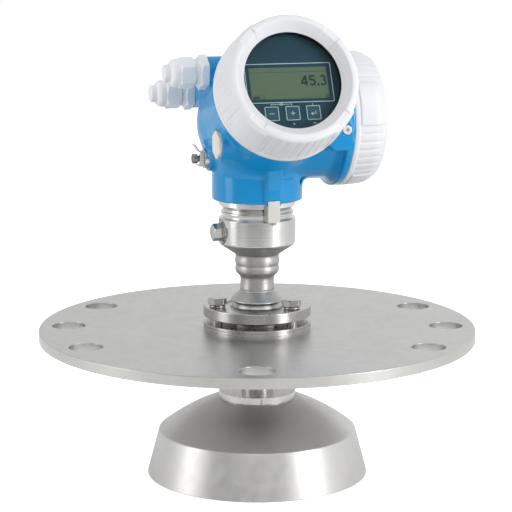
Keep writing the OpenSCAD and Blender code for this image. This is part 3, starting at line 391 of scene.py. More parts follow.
looks = {
    "mounting_flange": surface("flangeSteel", (196, 195, 192), 0.34, 1.0, "turned", strength=0.12, scale=1500),
    "seat_ring": surface("ringSteel", (186, 185, 182), 0.28, 1.0, "turned", strength=0.05),
    "clamp_bolts": surface("boltSteel", (182, 181, 178), 0.3, 1.0, "cast", strength=0.05),
    "seat_liner": surface("liner", (96, 90, 84), 0.55),
    # The neck below 74.2 mm is rougher, and its colour is darkened to 0.74 as painted shade.
    "neck": surface("neckSteel", (207, 206, 204), 0.2, 1.0, "turned", strength=0.09,
                    satinAndShade=(0.0742, 0.4, 0.74)),
    "waveguide": surface("tubeSteel", (190, 189, 186), 0.3, 1.0, "turned"),
    "waveguide_bush": surface("whitePlastic", (232, 231, 227), 0.45),
    "waveguide_coupler": surface("brass", (205, 170, 105), 0.3, 1.0, "turned"),
    "neck_snap_ring": surface("springSteel", (120, 120, 124), 0.35, 1.0),
    "swivel_seal": surface("rubber", (38, 38, 40), 0.6, marks="cast"),
    "antenna_hub": surface("hubSteel", (200, 199, 196), 0.28, 1.0, "turned", strength=0.1),
    "antenna_bell": surface("bellSteel", (203, 202, 200), 0.38, 1.0, "turned", strength=0.16, scale=1100),
    "housing": surface("bluePaint", (0, 143, 204), 0.4, marks="cast", strength=0.025, scale=300, tone=0.02,
                       gloss=0.08, coat=0.8),
    "swivel_collar": surface("collarSteel", (228, 226, 224), 0.24, 1.0, "turned"),
    "lock_claw": surface("clawSteel", (196, 195, 192), 0.4, 1.0, "cast", strength=0.2),
    "claw_screw": surface("screwSteel", (165, 163, 160), 0.35, 1.0),
    "cover_lock_screw": surface("lockScrewSteel", (226, 226, 224), 0.3, 1.0, "turned"),
    "display_cover": surface("coverPaint", (221, 222, 225), 0.42, marks="cast", strength=0.05, scale=700,
                             tone=0.015, coat=0.15, at=displayAxes),
    "window_retainer": surface("retainerFinish", (64, 64, 67), 0.4, 0.6, "turned", at=displayAxes),
    "electronics_module": surface("moduleCan", (44, 45, 48), 0.5, marks="cast"),
    "display_module": surface("displayShell", (16, 26, 30), 0.45, marks="cast"),
    "display_overlay": surface("displayFilm", (34, 62, 75), 0.4, tone=0.01, gloss=0.1),
    "lcd_panel": surface("lcdGlass", (93, 107, 86), 0.4, tone=0.01, gloss=0.1),
    "key_minus": surface("keyFilm", (50, 80, 92), 0.4, tone=0.01, gloss=0.1),
    "terminal_block": surface("terminalPlastic", (92, 108, 84), 0.5, marks="cast"),
    "terminal_screws": surface("platedSteel", (205, 203, 198), 0.3, 1.0, "cast"),
    "gland_body_front": surface("glandPlastic", (235, 236, 238), 0.42, marks="cast", strength=0.06, scale=600,
                                tone=0.012),
    "gland_plug_front": surface("plugPlastic", (232, 233, 235), 0.45, marks="cast", strength=0.05),
    "entry_plug": surface("entryPlastic", (224, 218, 211), 0.45, marks="cast", strength=0.06),
    "ground_washer": surface("washerSteel", (214, 213, 210), 0.3, 1.0, "turned"),
    "ground_screw": surface("groundSteel", (150, 145, 140), 0.34, 1.0, "cast"),
}
same = {
    "seat_ring": ["clamp_plate"], "clamp_bolts": ["spring_washers", "purge_plug", "purge_washer"],
    "waveguide": ["drop_tube", "bell_nut"], "antenna_hub": ["sub_reflector"], "waveguide_bush": ["feed_cone"],
    "swivel_seal": ["display_cover_seal", "terminal_cover_seal", "window_gasket", "gland_seal_front",
                    "gland_seal_rear"],
    "display_cover": ["terminal_cover"], "key_minus": ["key_plus", "key_enter"],
    "gland_body_front": ["gland_body_rear", "gland_nut_front", "gland_nut_rear"],
    "gland_plug_front": ["gland_plug_rear"], "ground_washer": ["ground_clamp"],
}

# Window glass: clear to light that only passes through, tinted and glossy to everything else.
pane = bpy.data.materials.new("windowGlass")
pane.use_nodes = True
tree = pane.node_tree
clear = next(n for n in tree.nodes if n.type == "BSDF_PRINCIPLED")
glassTint = linear((236, 243, 243))
for key, value in {"Base Color": glassTint, "Roughness": 0.02, "IOR": 1.18, "Transmission Weight": 1.0}.items():
    clear.inputs[key].default_value = value
through = node(tree, "BsdfTransparent", {"Color": glassTint})
path = node(tree, "LightPath")
both = node(tree, "MixShader", {0: path.outputs["Is Shadow Ray"], 1: clear.outputs[0], 2: through.outputs[0]})
tree.links.new(both.outputs[0], next(n for n in tree.nodes if n.type == "OUTPUT_MATERIAL").inputs["Surface"])
looks["window_glass"] = pane

for first, others in same.items():
    for other in others:
        looks[other] = looks[first]
for name, made in looks.items():
    slots = frame["nodes"][name].data.materials
    for i in range(len(slots)):
        slots[i] = made
print("materials set on", len(looks), "nodes of", len(frame["nodes"]))


# Smooth step from 0 at low to 1 at high: t t (3 - 2 t).
def smooth(x, low, high):
    t = np.clip((np.asarray(x, float) - low) / (high - low), 0, 1)
    return t * t * (3 - 2 * t)


# Arc length from angle a to the nearest of count places, the first of them at angle first.
def apart(a, count, first, r):
    step = 2 * math.pi / count
    return np.abs((a - first + step / 2) % step - step / 2) * r


# Grip pattern: four wide lands, and soft valleys at an even pitch between them.
# Height added to the radius = land rise x plateau(distance) - depth x exp(-(distance / width) squared).
def grip(a, r, lands, rise, depth, width=1.0, reach=1.8, count=48):
    pitch = 2 * math.pi * r / count
    toLand = apart(a, 4, lands, r)
    half = reach * pitch
    plateau = 1 - smooth(toLand, half - 0.5, half + 0.6)
    valleys = np.exp(-(apart(a, count, lands + math.pi / count, r) / width) ** 2)
    clearOfLand = smooth(toLand, half + 0.25 * pitch, half + 0.5 * pitch)
    return rise * plateau - depth * valleys * clearOfLand


covers = {
    "display": {"r": 51.55, "length": 39.0, "back": 64.7, "front": 48.96, "window": 36.7,
                "land": math.radians(45), "bead": 4.2, "glass": 7.1, "steps": 768},
    "terminal": {"r": 52.3, "length": 28.4, "back": 61.5, "land": math.radians(72), "steps": 672},
}
gripR, coverStep = 50.0, 0.6       # where the grip's pitch is measured, and the step behind the skirt
# What both covers have inside their back edge: the thread, and the groove of the sealing ring.
threadR, threadTop, grooveR, grooveLow, grooveTop = 46.1, 16.0, 48.3, 1.2, 3.7
backEdge = [[threadR, threadTop], [threadR, grooveTop], [grooveR, grooveTop], [grooveR, grooveLow],
            [threadR, grooveLow]]


# The skirt carries the grip pattern; over each land a shallow flat pocket is cut in the front edge.
def displayCoverShape(r, z, a):
    c = covers["display"]
    onSkirt = smooth(r, 46.0, 47.5) * smooth(z, 4.6, 6.4) * (1 - smooth(z, 33.6, 37.0))
    pocket = (1 - smooth(apart(a, 4, c["land"], 46.0), 6.0, 6.7)) * smooth(r, 41.4, 42.4)
    return (r + onSkirt * grip(a, gripR, c["land"], 1.1, 0.55, 0.95),
            z - pocket * np.maximum(z - (c["length"] - 1.35), 0))


c = covers["display"]
front, top, beadR, behindGlass = c["front"], c["length"], c["bead"], c["length"] - c["glass"]
bead = [[front - beadR + beadR * math.sin(t), top - beadR + beadR * math.cos(t)]
        for t in np.linspace(math.pi / 2, 0, 11)]
skirtBack = c["r"] - coverStep
outer = [[threadR, 0.0], [skirtBack, 0.0], [c["r"], 0.6], [c["r"], 3.9], [skirtBack, 4.5]]
skirt = [[skirtBack - (skirtBack - front) * t, 4.5 + (top - 8.9) * t] for t in np.linspace(0.04, 0.98, 24)]
inner = [[c["window"] + 6.6, top], [c["window"] + 0.5, top - 6.2], [c["window"], top - 6.6],
         [c["window"], behindGlass], [42.3, behindGlass], [42.3, top - 12.1], [43.5, top - 12.1],
         [43.5, 17.0]] + backEdge
edge = softened(outer, [0, 0.3, 0.5, 0.4, 0.4], 3, False)
face = softened([bead[-1], inner[0], inner[1], inner[2], inner[3]], [0, 2.6, 0.5, 0.2, 0], 5, False)
outline = np.concatenate([edge, skirt, bead[:-1], face, inner[4:]])
at = shifted(displayAxes, dz=c["back"])
solidPiece("displayCover", [turned(outline, c["steps"], at, displayCoverShape)], "display_lid", "display_cover",
           looks["display_cover"], sharp=40)


# The terminal cover's skirt carries the same grip pattern, with wider lands.
def terminalCoverShape(r, z, a):
    c = covers["terminal"]
    onSkirt = smooth(r, 43.4, 45.0) * smooth(z, 4.6, 5.4) * (1 - smooth(z, 20.5, 26.5))
    return r + onSkirt * grip(a, gripR, c["land"], 1.0, 0.6, 0.9, 2.5), z


c = covers["terminal"]
r, top = c["r"], c["length"]
outer = [[threadR, 0.0], [r - coverStep, 0.0], [r, 0.6], [r, 3.4], [r - 0.9, 4.5]]
crown = softened([[r - 0.9, 4.5], [r - 1.7, top - 8.5], [r - 4.4, top - 1.6], [r - 6.6, top], [r - 11.6, top],
                  [r - 13.2, top - 1.0], [0.01, top - 1.0]], [0, 5, 2.4, 1.4, 0.8, 0.8, 0], 8, False)
low = np.linspace(crown[0], crown[1], 18, endpoint=False)
edge = softened(outer, [0, 0.3, 0.5, 0.4, 0.4], 3, False)
inside = np.array([[0.01, top - 4.6], [43.3, top - 4.6], [43.3, 17.0]] + backEdge)
outline = np.concatenate([edge, low[1:], crown[1:], inside])
at = shifted(terminalAxes, dz=c["back"])
solidPiece("terminalCover", [turned(outline, c["steps"], at, terminalCoverShape)], "terminal_lid",
           "terminal_cover", looks["display_cover"], sharp=40)
print("covers made")


# Paraboloid shell: z falls with the square of the radius, then a straight shroud leans out to the rim.
dish = {"focal": 49.6, "landR": 31.0, "dishR": 77.4, "rimR": 86.6, "sheet": 1.6, "hubLow": -48.7,
        "boreR": 18.0, "shroud": 35.0}
focal, landR, dishR, rimR = dish["focal"], dish["landR"], dish["dishR"], dish["rimR"]
sheet, hubLow = dish["sheet"], dish["hubLow"]
r = np.linspace(landR, dishR, 40)
z = hubLow + 0.24 - (r ** 2 - landR ** 2) / (4 * focal)
slope = np.arctan(r / (2 * focal))
rimZ = z[-1] - dish["shroud"]
bowl = np.stack([r, z], 1)
shell = np.stack([r - sheet * np.sin(slope), z - sheet * np.cos(slope)], 1)
outside = softened(np.concatenate([[[dish["boreR"], hubLow], [landR - 0.5, hubLow]], bowl[1:], [[rimR, rimZ]]]),
                   [0, 1.5] + [0] * 38 + [2.4, 0], 4, False)
inside = np.concatenate([[[rimR - 0.25, rimZ], [rimR - 2.0, rimZ], [rimR - 2.1, rimZ + 1.8],
                          [dishR - 1.4, z[-1] - sheet]], shell[::-1][1:], [[dish["boreR"], hubLow - sheet]]])
down = np.linspace(outside[-1] * 0.94 + outside[-2] * 0.06, outside[-1] + np.array([-0.1, 0.35]), 3)
solidPiece("dish", [turned(np.concatenate([outside[:-1], down, inside]), 384)], "neck_antenna", "antenna_bell",
           looks["antenna_bell"], sharp=24)
print("dish made")


# Signed distances in mm, less than nought inside. rod is a cylinder of radius r from low to high
# with edges rounded by e; join is a union with a fillet of about k, and cut takes b out of a.
def rod(off, along, r, low, high, e=0.5):
    dr = off - (r - e)
    dz = np.abs(along - (low + high) / 2) - ((high - low) / 2 - e)
    return np.hypot(np.maximum(dr, 0), np.maximum(dz, 0)) + np.minimum(np.maximum(dr, dz), 0) - e


# A box: each of x, y and z is the coordinate with its low and high end.
def block(x, y, z, e=0.5):
    d = [np.abs(p - (low + high) / 2) - ((high - low) / 2 - e) for p, low, high in (x, y, z)]
    out = np.sqrt(sum(np.maximum(q, 0) ** 2 for q in d))
    return out + np.minimum(np.maximum(np.maximum(d[0], d[1]), d[2]), 0) - e


def join(a, b, k):
    t = np.clip(0.5 + 0.5 * (b - a) / k, 0, 1)
    return b * (1 - t) + a * t - k * t * (1 - t)


def cut(a, b, k=0.5):
    return -join(-a, b, k)


# Distance to a flat outline: nearest edge, with the sign from the crossings counted to one side.
def outlineDistance(x, y, corners):
    best, inside = np.full(x.shape, 1e9), np.zeros(x.shape, bool)
    for (ax, ay), (bx, by) in zip(corners, np.roll(corners, -1, 0)):
        ex, ey = bx - ax, by - ay
        t = np.clip(((x - ax) * ex + (y - ay) * ey) / (ex * ex + ey * ey), 0, 1)
        best = np.minimum(best, np.hypot(x - ax - t * ex, y - ay - t * ey))
        if ey:
            inside ^= ((ay > y) != (by > y)) & (x < ax + (y - ay) * ex / ey)
    return np.where(inside, -best, best)


tilt = math.asin(outward[2])
# All in mm from the crossing of the two chambers. Up runs along the window's plane, out along its axis.
# A thread is radius, low and high; a lip is radius and start; a pair in a bore is its low and high end.
shell = {
    "ball": 46.4, "chamber": 46.2, "hollowBall": 42.3, "bore": 42.0, "boreEnd": 90,
    "displayEnd": 64.4, "displayLip": (49.9, 59.4), "displayThread": (45.8, 60, 78.9),
    "terminalEnd": 61.2, "terminalLip": (51.9, 56.6), "terminalThread": (45.8, 58, 75.7),
    "terminalRise": 1.2, "terminalBore": 48.5,
    "base": -59.1, "skirt": 35.0, "skirtTop": -12, "neckBore": 24.05, "neckBoreTop": 30, "neckSeat": 30.1,
    "rib": {"turn": 3, "half": 5.9, "face": -38, "slope": 0.17, "back": -20, "top": -17, "low": 1.5},
    "sector": {"r": 35.9, "low": 0.8, "high": 18.6, "middle": -66.2, "half": 9.8},
    "entry": {"face": 42.8, "sleeve": 11.85, "inner": -12, "hole": 9.9, "depth": 8, "holeEnd": -18.8},
    "spare": {"boss": 12.0, "inner": -22, "seat": 11.25, "seatDepth": 9},
    "ground": {"up": 32.5, "boss": 9.7, "low": -40, "high": -22, "screw": 2.55, "screwLow": -44,
               "screwHigh": -30},
    "lug": {"y": -49, "half": 8.0, "round": 1.0, "x": 52.7, "z": -1.4, "head": 3.68, "headEnd": -54.9,
            "screw": 2.05, "screwEnd": -44, "low": -64},
    "purgeSide": {"turn": -33, "up": 15.7, "r": 3.2, "low": 31, "high": 42},
    "claw": {"half": 5.0, "front": -44, "step": -32.8, "back": -25.6, "up": 3, "screwOut": 35, "screw": 1.65,
             "screwTop": 14, "below": 4},
}
base, entryFace = shell["base"], shell["entry"]["face"]
entries = [(33.4, 23.0), (33.4, -24.0), (-27.0, 33.0)]      # up and out: front gland, rear gland, spare
lug = np.array([[34, -9], [43, -17], [57.9, -17], [59.4, -15.5], [59.4, -10], [56.4, 4], [54.4, 8], [34, 8]])


# x and y as seen from axes turned by the given degrees: x cos t + y sin t, and y cos t - x sin t.
def turnedBy(x, y, degrees):
    t = math.radians(degrees)
    return x * math.cos(t) + y * math.sin(t), -x * math.sin(t) + y * math.cos(t)


# The casting as one distance: ball, two chambers, skirt, rib, sector, bosses and lug are joined with
# fillets; then the hollows, bores, entries and screw holes are cut out of them.
def housingDistance(p):
    x, y, z = p[..., 0], p[..., 1], p[..., 2]
    h = shell
    rise, spareUp, spareOut = entries[0][0], entries[2][0], entries[2][1]
    out = -math.cos(tilt) * y + math.sin(tilt) * z
    up = math.sin(tilt) * y + math.cos(tilt) * z
    fromCrossing = np.sqrt(x * x + y * y + z * z)
    offDisplay, offTerminal, offNeck = np.hypot(x, up), np.hypot(y, z - h["terminalRise"]), np.hypot(x, y)
    offSpare = np.hypot(out - spareOut, up - spareUp)
    d = fromCrossing - h["ball"]
    lipR, lipStart = h["displayLip"]
    d = join(d, join(rod(offDisplay, out, h["chamber"], -1, h["displayEnd"]),
                     rod(offDisplay, out, lipR, lipStart, h["displayEnd"], 0.7), 5), 2)
    lipR, lipStart = h["terminalLip"]
    d = join(d, join(rod(offTerminal, x, h["chamber"], -1, h["terminalEnd"]),
                     rod(offTerminal, x, lipR, lipStart, h["terminalEnd"], 0.8), 9), 4)
    d = join(d, rod(offNeck, z, h["skirt"], base, h["skirtTop"], 0.8), 6)
    rib = h["rib"]
    rx, ry = turnedBy(x, y, rib["turn"])
    ribFace = rib["face"] - rib["slope"] * np.clip(z - base - 12, 0, 30)
    d = join(d, block((rx, -rib["half"], rib["half"]), (ry, ribFace, rib["back"]),
                      (z, base - rib["low"], rib["top"]), 1.2), 1.6)
    sector = h["sector"]
    angle = np.degrees(np.arctan2(y, x))
    d = join(d, np.maximum(rod(offNeck, z, sector["r"], base + sector["low"], base + sector["high"], 0.9),
                           (np.abs(angle - sector["middle"]) - sector["half"]) * offNeck * math.pi / 180), 0.8)
    entry, spare, ground = h["entry"], h["spare"], h["ground"]
    sleeve = np.hypot(out - np.clip(out, entries[1][1], entries[0][1]), up - rise)
    d = join(d, rod(sleeve, x, entry["sleeve"], -entryFace, entry["inner"], 0.8), 4)
    d = join(d, rod(offSpare, x, spare["boss"], -entryFace, spare["inner"], 0.8), 4)
    offGround = np.hypot(y, z - base - ground["up"])
    d = join(d, rod(offGround, x, ground["boss"], ground["low"], ground["high"], 0.7), 3.5)
    ear = h["lug"]
    side, face = outlineDistance(x, z, lug) + ear["round"], np.abs(y - ear["y"]) - ear["half"]
    tongue = np.maximum(side, face)
    tongue = np.where(tongue > 0, np.hypot(np.maximum(side, 0), np.maximum(face, 0)), tongue) - ear["round"]
    d = join(d, tongue, 2.5)
    d = np.minimum(d, rod(offDisplay, out, *h["displayThread"], 0.7))
    d = np.minimum(d, rod(offTerminal, x, *h["terminalThread"], 0.7))
    hollow = np.minimum(fromCrossing - h["hollowBall"], rod(offDisplay, out, h["bore"], 0, h["boreEnd"]))
    hollow = np.minimum(hollow, rod(offTerminal, x, h["bore"], h["terminalBore"], h["boreEnd"]))
    d = cut(d, hollow, 0.4)
    d = cut(d, np.minimum(rod(offNeck, z, h["neckBore"], base - 6, base + h["neckBoreTop"]),
                          rod(offNeck, z, h["neckSeat"], base - 9, base)), 0.4)
    for entryUp, entryOut in entries:
        hole = rod(np.hypot(out - entryOut, up - entryUp), x, entry["hole"], -entryFace - entry["depth"],
                   entry["holeEnd"])
        d = cut(d, hole, 0.4)
    d = cut(d, rod(offSpare, x, spare["seat"], -entryFace - spare["seatDepth"], -entryFace, 0.1), 0.2)
    d = cut(d, rod(offGround, x, ground["screw"], ground["screwLow"], ground["screwHigh"]), 0.3)
    offLock = np.hypot(x - ear["x"], z - ear["z"])
    d = cut(d, np.minimum(rod(offLock, y, ear["head"], ear["low"], ear["headEnd"], 0.2),
                          rod(offLock, y, ear["screw"], ear["low"], ear["screwEnd"])), 0.3)
    port = h["purgeSide"]
    hx, hy = turnedBy(x, y, port["turn"])
    d = cut(d, rod(np.hypot(hy, z - base - port["up"]), hx, port["r"], port["low"], port["high"]), 0.9)
    claw = h["claw"]
    wide, under = (rx, -claw["half"], claw["half"]), base - claw["below"]
    seat = np.minimum(block(wide, (ry, claw["front"], claw["step"]), (z, under, base + claw["up"]), 0.1),
                      block(wide, (ry, claw["front"], claw["back"]), (z, under, base), 0.1))
    clawHole = rod(np.hypot(rx, ry + claw["screwOut"]), z, claw["screw"], under, base + claw["screwTop"])
    return cut(d, np.minimum(seat, clawHole), 0.3)


# Surface nets: a point in each cell that the surface passes, at the mean of its edge crossings,
# and a face across each grid edge that the surface crosses.
def nets(field, low, cell):
    shape = np.array(field.shape) - 1
    total, count = np.zeros((*shape, 3)), np.zeros(shape)
    for axis in range(3):
        f = np.moveaxis(field, axis, 0)
        a, b = f[:-1], f[1:]
        crosses = (a < 0) != (b < 0)
        t = np.where(crosses, a / np.where(crosses, a - b, 1), 0)
        sums, counts = np.moveaxis(total, axis, 0), np.moveaxis(count, axis, 0)
        others = [k for k in range(3) if k != axis]
        for d1 in (0, 1):
            for d2 in (0, 1):
                hit = crosses[:, d1:crosses.shape[1] - 1 + d1, d2:crosses.shape[2] - 1 + d2]
                part = t[:, d1:t.shape[1] - 1 + d1, d2:t.shape[2] - 1 + d2]
                counts += hit
                sums[..., axis] += part * hit
                sums[..., others[0]] += d1 * hit
                sums[..., others[1]] += d2 * hit
    used = count > 0
    index = np.full(shape, -1)
    index[used] = np.arange(used.sum())
    points = low + cell * (np.argwhere(used) + total[used] / count[used][:, None])
    faces = []
    for axis in range(3):
        f = np.moveaxis(field, axis, 0)
        crosses = (f[:-1] < 0) != (f[1:] < 0)
        at = np.argwhere(crosses[:, 1:-1, 1:-1]) + [0, 1, 1]
        moved = np.moveaxis(index, axis, 0)
        i, j, k = at.T
        quad = np.stack([moved[i, j - 1, k - 1], moved[i, j, k - 1], moved[i, j, k], moved[i, j - 1, k]], 1)
        outwards = f[i, j, k] < 0
        if axis == 1:
            outwards = ~outwards
        quad[~outwards] = quad[~outwards][:, ::-1]
        faces.append(quad)
    return points, np.concatenate(faces)


# The direction in which the distance grows fastest, from its differences along each axis.
def slopes(distance, p, step=0.05):
    shifts = np.eye(3) * step
    return unitRows(np.stack([distance(p + s) - distance(p - s) for s in shifts], -1))


# Every row divided by its own length.
def unitRows(v):
    return v / np.maximum(np.linalg.norm(v, axis=-1, keepdims=True), 1e-9)


lowest, highest = lowHigh("housing", headAxes)
cell, margin = 1.2, 1.5
low = lowest - margin
count = np.ceil((highest + margin - low) / cell).astype(int) + 1
steps = [low[i] + cell * np.arange(count[i]) for i in range(3)]
field = housingDistance(np.stack(np.meshgrid(*steps, indexing="ij"), -1))
points, faces = nets(field, low, cell)
for again in range(3):
    points -= np.clip(housingDistance(points), -0.5, 0.5)[:, None] * slopes(housingDistance, points)
casting = meshPiece("casting", carried(points, headAxes), faces, "head", "housing", looks["housing"],
                    sharp=180, merge=False)
normals = slopes(housingDistance, points, 0.25)
upwards = normals[:, :1] * headAxes["x"] + normals[:, 1:2] * headAxes["y"] + normals[:, 2:] * headAxes["z"]
casting.data.normals_split_custom_set_from_vertices(upwards.tolist())
print("housing made,", len(faces), "faces")


entryFrames = {side: axes(carried((-entryFace, up, out), displayAxes), outward, -sideways)
               for side, (up, out) in zip(("front", "rear", "plug"), entries)}
gland = {"flats": 24.0, "hexHeight": 6.5, "shaft": 8.6, "capFlats": 21.6, "capStart": 9.7, "capHeight": 12.0,
         "dome": 7.6, "mouth": 7.0, "bore": 6.4}
g = gland
capTop = g["capStart"] + g["capHeight"]
domeTop = capTop + g["dome"]
shaftTop = g["capStart"] + 0.72 * g["capHeight"]


# Points on an arc about x, y: x + r cos t and y + r sin t, with t in degrees from first to last.
def arcPoints(x, y, r, first, last, count):
    t = np.radians(np.linspace(first, last, count))
    return np.stack([x + r * np.cos(t), y + r * np.sin(t)], 1)


for side in ("front", "rear"):
    at = entryFrames[side]
    inside = g["bore"] + 0.05
    collar = softened([[inside, 5.8], [g["shaft"] + 1.9, 5.8], [g["shaft"] + 1.9, 7.6], [g["shaft"] + 1.2, 8.0],
                       [g["shaft"] + 1.2, 9.3], [g["shaft"], 9.4], [g["shaft"], shaftTop], [inside, shaftTop]],
                      [0, 0, 0.3, 0.2, 0.2, 0, 0.2, 0], 3)
    thread = np.array([[inside, 0.2], [inside, -9.0], [9.9, -9.0], [9.9, 0.2]])
    solidPiece("glandBody" + side.title(), [
        hexBar(g["flats"], 0.0, g["hexHeight"], at, math.pi / 6, inner=inside, edge=0.7),
        turned(collar, 96, at), turned(thread, 96, at)],
        "head", "gland_body_" + side, looks["gland_body_front"])
    dome = np.concatenate([[[g["shaft"] + 0.15, capTop - 1.2], [10.5, capTop - 1.2], [10.5, capTop + 0.7]],
                           arcPoints(6.1, capTop + 2.7, 4.4, 6, 86, 12),
                           softened([[6.6, domeTop - 0.5], [g["mouth"] + 0.1, domeTop - 0.1],
                                     [g["mouth"] + 0.1, domeTop - 1.2], [g["mouth"] + 0.1, capTop - 1.2]],
                                    [0, 0.4, 0.2, 0], 3, False)])
    solidPiece("glandCap" + side.title(), [
        hexBar(g["capFlats"], g["capStart"], capTop, at, math.pi / 6, both=True,
               inner=g["shaft"] + 0.15, edge=0.7),
        turned(dome, 96, at)], "gland_cap_" + side, "gland_nut_" + side, looks["gland_body_front"])
    stopper = softened([[0.01, shaftTop - 5.9], [4.9, shaftTop - 5.9], [4.9, domeTop - 1.3],
                        [6.65, domeTop - 1.3], [6.65, domeTop + 3.8], [0.01, domeTop + 3.8]],
                       [0, 0.3, 0.2, 0.3, 1.5, 0], 6, False)
    solidPiece("glandPlug" + side.title(), [turned(stopper, 96, at)], "gland_insert_" + side,
               "gland_plug_" + side, looks["gland_plug_front"])

at = entryFrames["plug"]
stem = np.array([[0.01, -9.0], [9.9, -9.0], [9.9, 0.3], [0.01, 0.3]])
plugHead = hexBar(19.0, 0.0, 2.0, at, math.radians(38), corner=1.15, cone=1.2)
solidPiece("entryPlug", [plugHead, turned(stem, 96, at)], "head", "entry_plug", looks["entry_plug"])


# The plate's mouth is cut back to a step at its top, so that the neck's foot can dip into it as the ball
# tilts: below the top, points inside the mouth move out to the step's radius and down to its height.
def mouthStep(p):
    r = np.hypot(p[:, 0], p[:, 1])
    inMouth = (r < 22.3) & (p[:, 2] > 23.8)
    newR = np.interp(p[:, 2], [24.28, 24.99, 25.7], [23.7, 24.2, 24.35])
    out = p * np.where(inMouth, newR / np.maximum(r, 1e-9), 1)[:, None]
    out[:, 2] = np.where(inMouth, np.interp(p[:, 2], [24.28, 24.99, 25.7], [24.05, 24.85, 25.7]), p[:, 2])
    return out


# The CAD shape with its edges broken: a merged copy, its flat triangles joined, with a narrow bevel.
def softEdged(node, width, shape=None):
    angle = 28
    piece = bpy.data.objects.new(node + "Soft", frame["nodes"][node].data.copy())
    bpy.context.scene.collection.objects.link(piece)
    if shape:
        places = np.empty(len(piece.data.vertices) * 3)
        piece.data.vertices.foreach_get("co", places)
        piece.data.vertices.foreach_set("co", (shape(places.reshape(-1, 3) / mm) * mm).ravel())
    work = bmesh.new()
    work.from_mesh(piece.data)
    bmesh.ops.remove_doubles(work, verts=work.verts, dist=1e-6)
    bmesh.ops.dissolve_limit(work, angle_limit=math.radians(0.5), verts=work.verts, edges=work.edges)
    work.to_mesh(piece.data)
    work.free()
    piece.data.shade_smooth()
    piece.data.set_sharp_from_angle(angle=math.radians(angle))
    roundEdges(piece, width, angle)
    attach(piece, bodyOf[node])
    standFor(node)


edgeWidths = {"mounting_flange": 0.5, "seat_ring": 0.2, "clamp_plate": 0.25, "antenna_hub": 0.3,
              "swivel_collar": 0.2, "lock_claw": 0.5, "purge_plug": 0.2, "purge_washer": 0.2,
              "cover_lock_screw": 0.3, "ground_washer": 0.2}
for name, width in edgeWidths.items():
    softEdged(name, width, shape=mouthStep if name == "clamp_plate" else None)
print("glands and steel made")


# A flat line of ink along a path in the display's plane, from low to high, mitred at its corners.
def ink(path, width, low, high, closed=False):
    p = np.asarray(path, float)
    along = np.roll(p, -1, 0) - p
    if not closed:
        along[-1] = p[-1] - p[-2]
    along = unitRows(along)
    before = np.roll(along, 1, 0)
    if not closed:
        before[0] = along[0]
    left = np.stack([-along[:, 1], along[:, 0]], 1)
    wasLeft = np.stack([-before[:, 1], before[:, 0]], 1)
    mitre = unitRows(left + wasLeft)
    half = width / 2 / np.maximum((mitre * left).sum(1, keepdims=True), 0.4)
    sides = (p + mitre * half, p - mitre * half)
    n = len(p)
    points = np.stack([np.column_stack([s, np.full(n, h)]) for s in sides for h in (low, high)], 1)
    i = np.arange(n if closed else n - 1)[:, None] * 4
    j = (i + 4) % (4 * n)
    faces = [np.hstack([i + a, i + b, j + b, j + a]) for a, b in ((0, 1), (1, 3), (3, 2), (2, 0))]
    if not closed:
        faces.append(np.array([[0, 2, 3, 1], [4 * n - 4, 4 * n - 3, 4 * n - 1, 4 * n - 2]]))
    return carried(points.reshape(-1, 3), displayAxes), np.concatenate(faces)


# Several lines of ink as one piece. Print stands for no CAD node.
def printed(name, lines, body, material):
    solidPiece(name, [], body, None, material, openGrids=lines)


# A rectangle's outline from corner to corner, its corners softened by r.
def corners(x0, y0, x1, y1, r=0.0):
    box = [[x0, y0], [x1, y0], [x1, y1], [x0, y1]]
    return softened(box, r, 5) if r else np.array(box, float)


whiteInk = surface("whiteInk", (190, 206, 208), 0.5, tone=0.0, gloss=0.1)
darkInk = surface("darkInk", (36, 52, 47), 0.5, tone=0.0, gloss=0.1)
film, liquid, keyTop, inkThick = 89.2, 88.8, 89.45, 0.03
onFilm, onLiquid, onKey = (film, film + inkThick), (liquid, liquid + inkThick), (keyTop, keyTop + inkThick)

# Digits as strokes in a cell 5.2 wide and 7.9 high.
strokes = {
    "4": [[[3.9, 0], [3.9, 7.9]], [[3.7, 7.5], [0.5, 2.6]], [[0.0, 2.3], [5.3, 2.3]]],
    "5": [[[0.9, 7.35], [4.7, 7.35]], [[1.0, 7.8], [0.75, 4.0]],
          arcPoints(2.45, 2.6, 2.05, 132, -150, 18)],
    "3": [arcPoints(2.35, 5.8, 1.55, 155, -85, 14), arcPoints(2.35, 2.5, 1.95, 85, -155, 16)],
    ".": [[[0.1, 0.6], [1.5, 0.6]], [[0.1, 1.1], [1.5, 1.1]]],
}
readout = {"signs": (("4", 6.3), ("5", 6.1), (".", 2.3), ("3", 6.0)), "from": (8.3, -2.2), "stroke": 1.4}
lines, (x, foot) = [], readout["from"]
for sign, pitch in readout["signs"]:
    for path in strokes[sign]:
        lines.append(ink(np.asarray(path) + [x, foot], readout["stroke"], *onLiquid))
    x += pitch
lines.append(ink([[-30.6, 8.6], [29.2, 8.6]], 0.3, *onLiquid))
lines.append(ink(corners(-29.4, -11.6, -20.6, -9.0), 0.28, *onLiquid, True))
lines.append(ink([[-28.8, -10.3], [-24.2, -10.3]], 1.5, *onLiquid))
lines.append(ink(corners(26.4, -11.4, 28.2, -9.4), 0.45, *onLiquid, True))
printed("readout", lines, "head", darkInk)

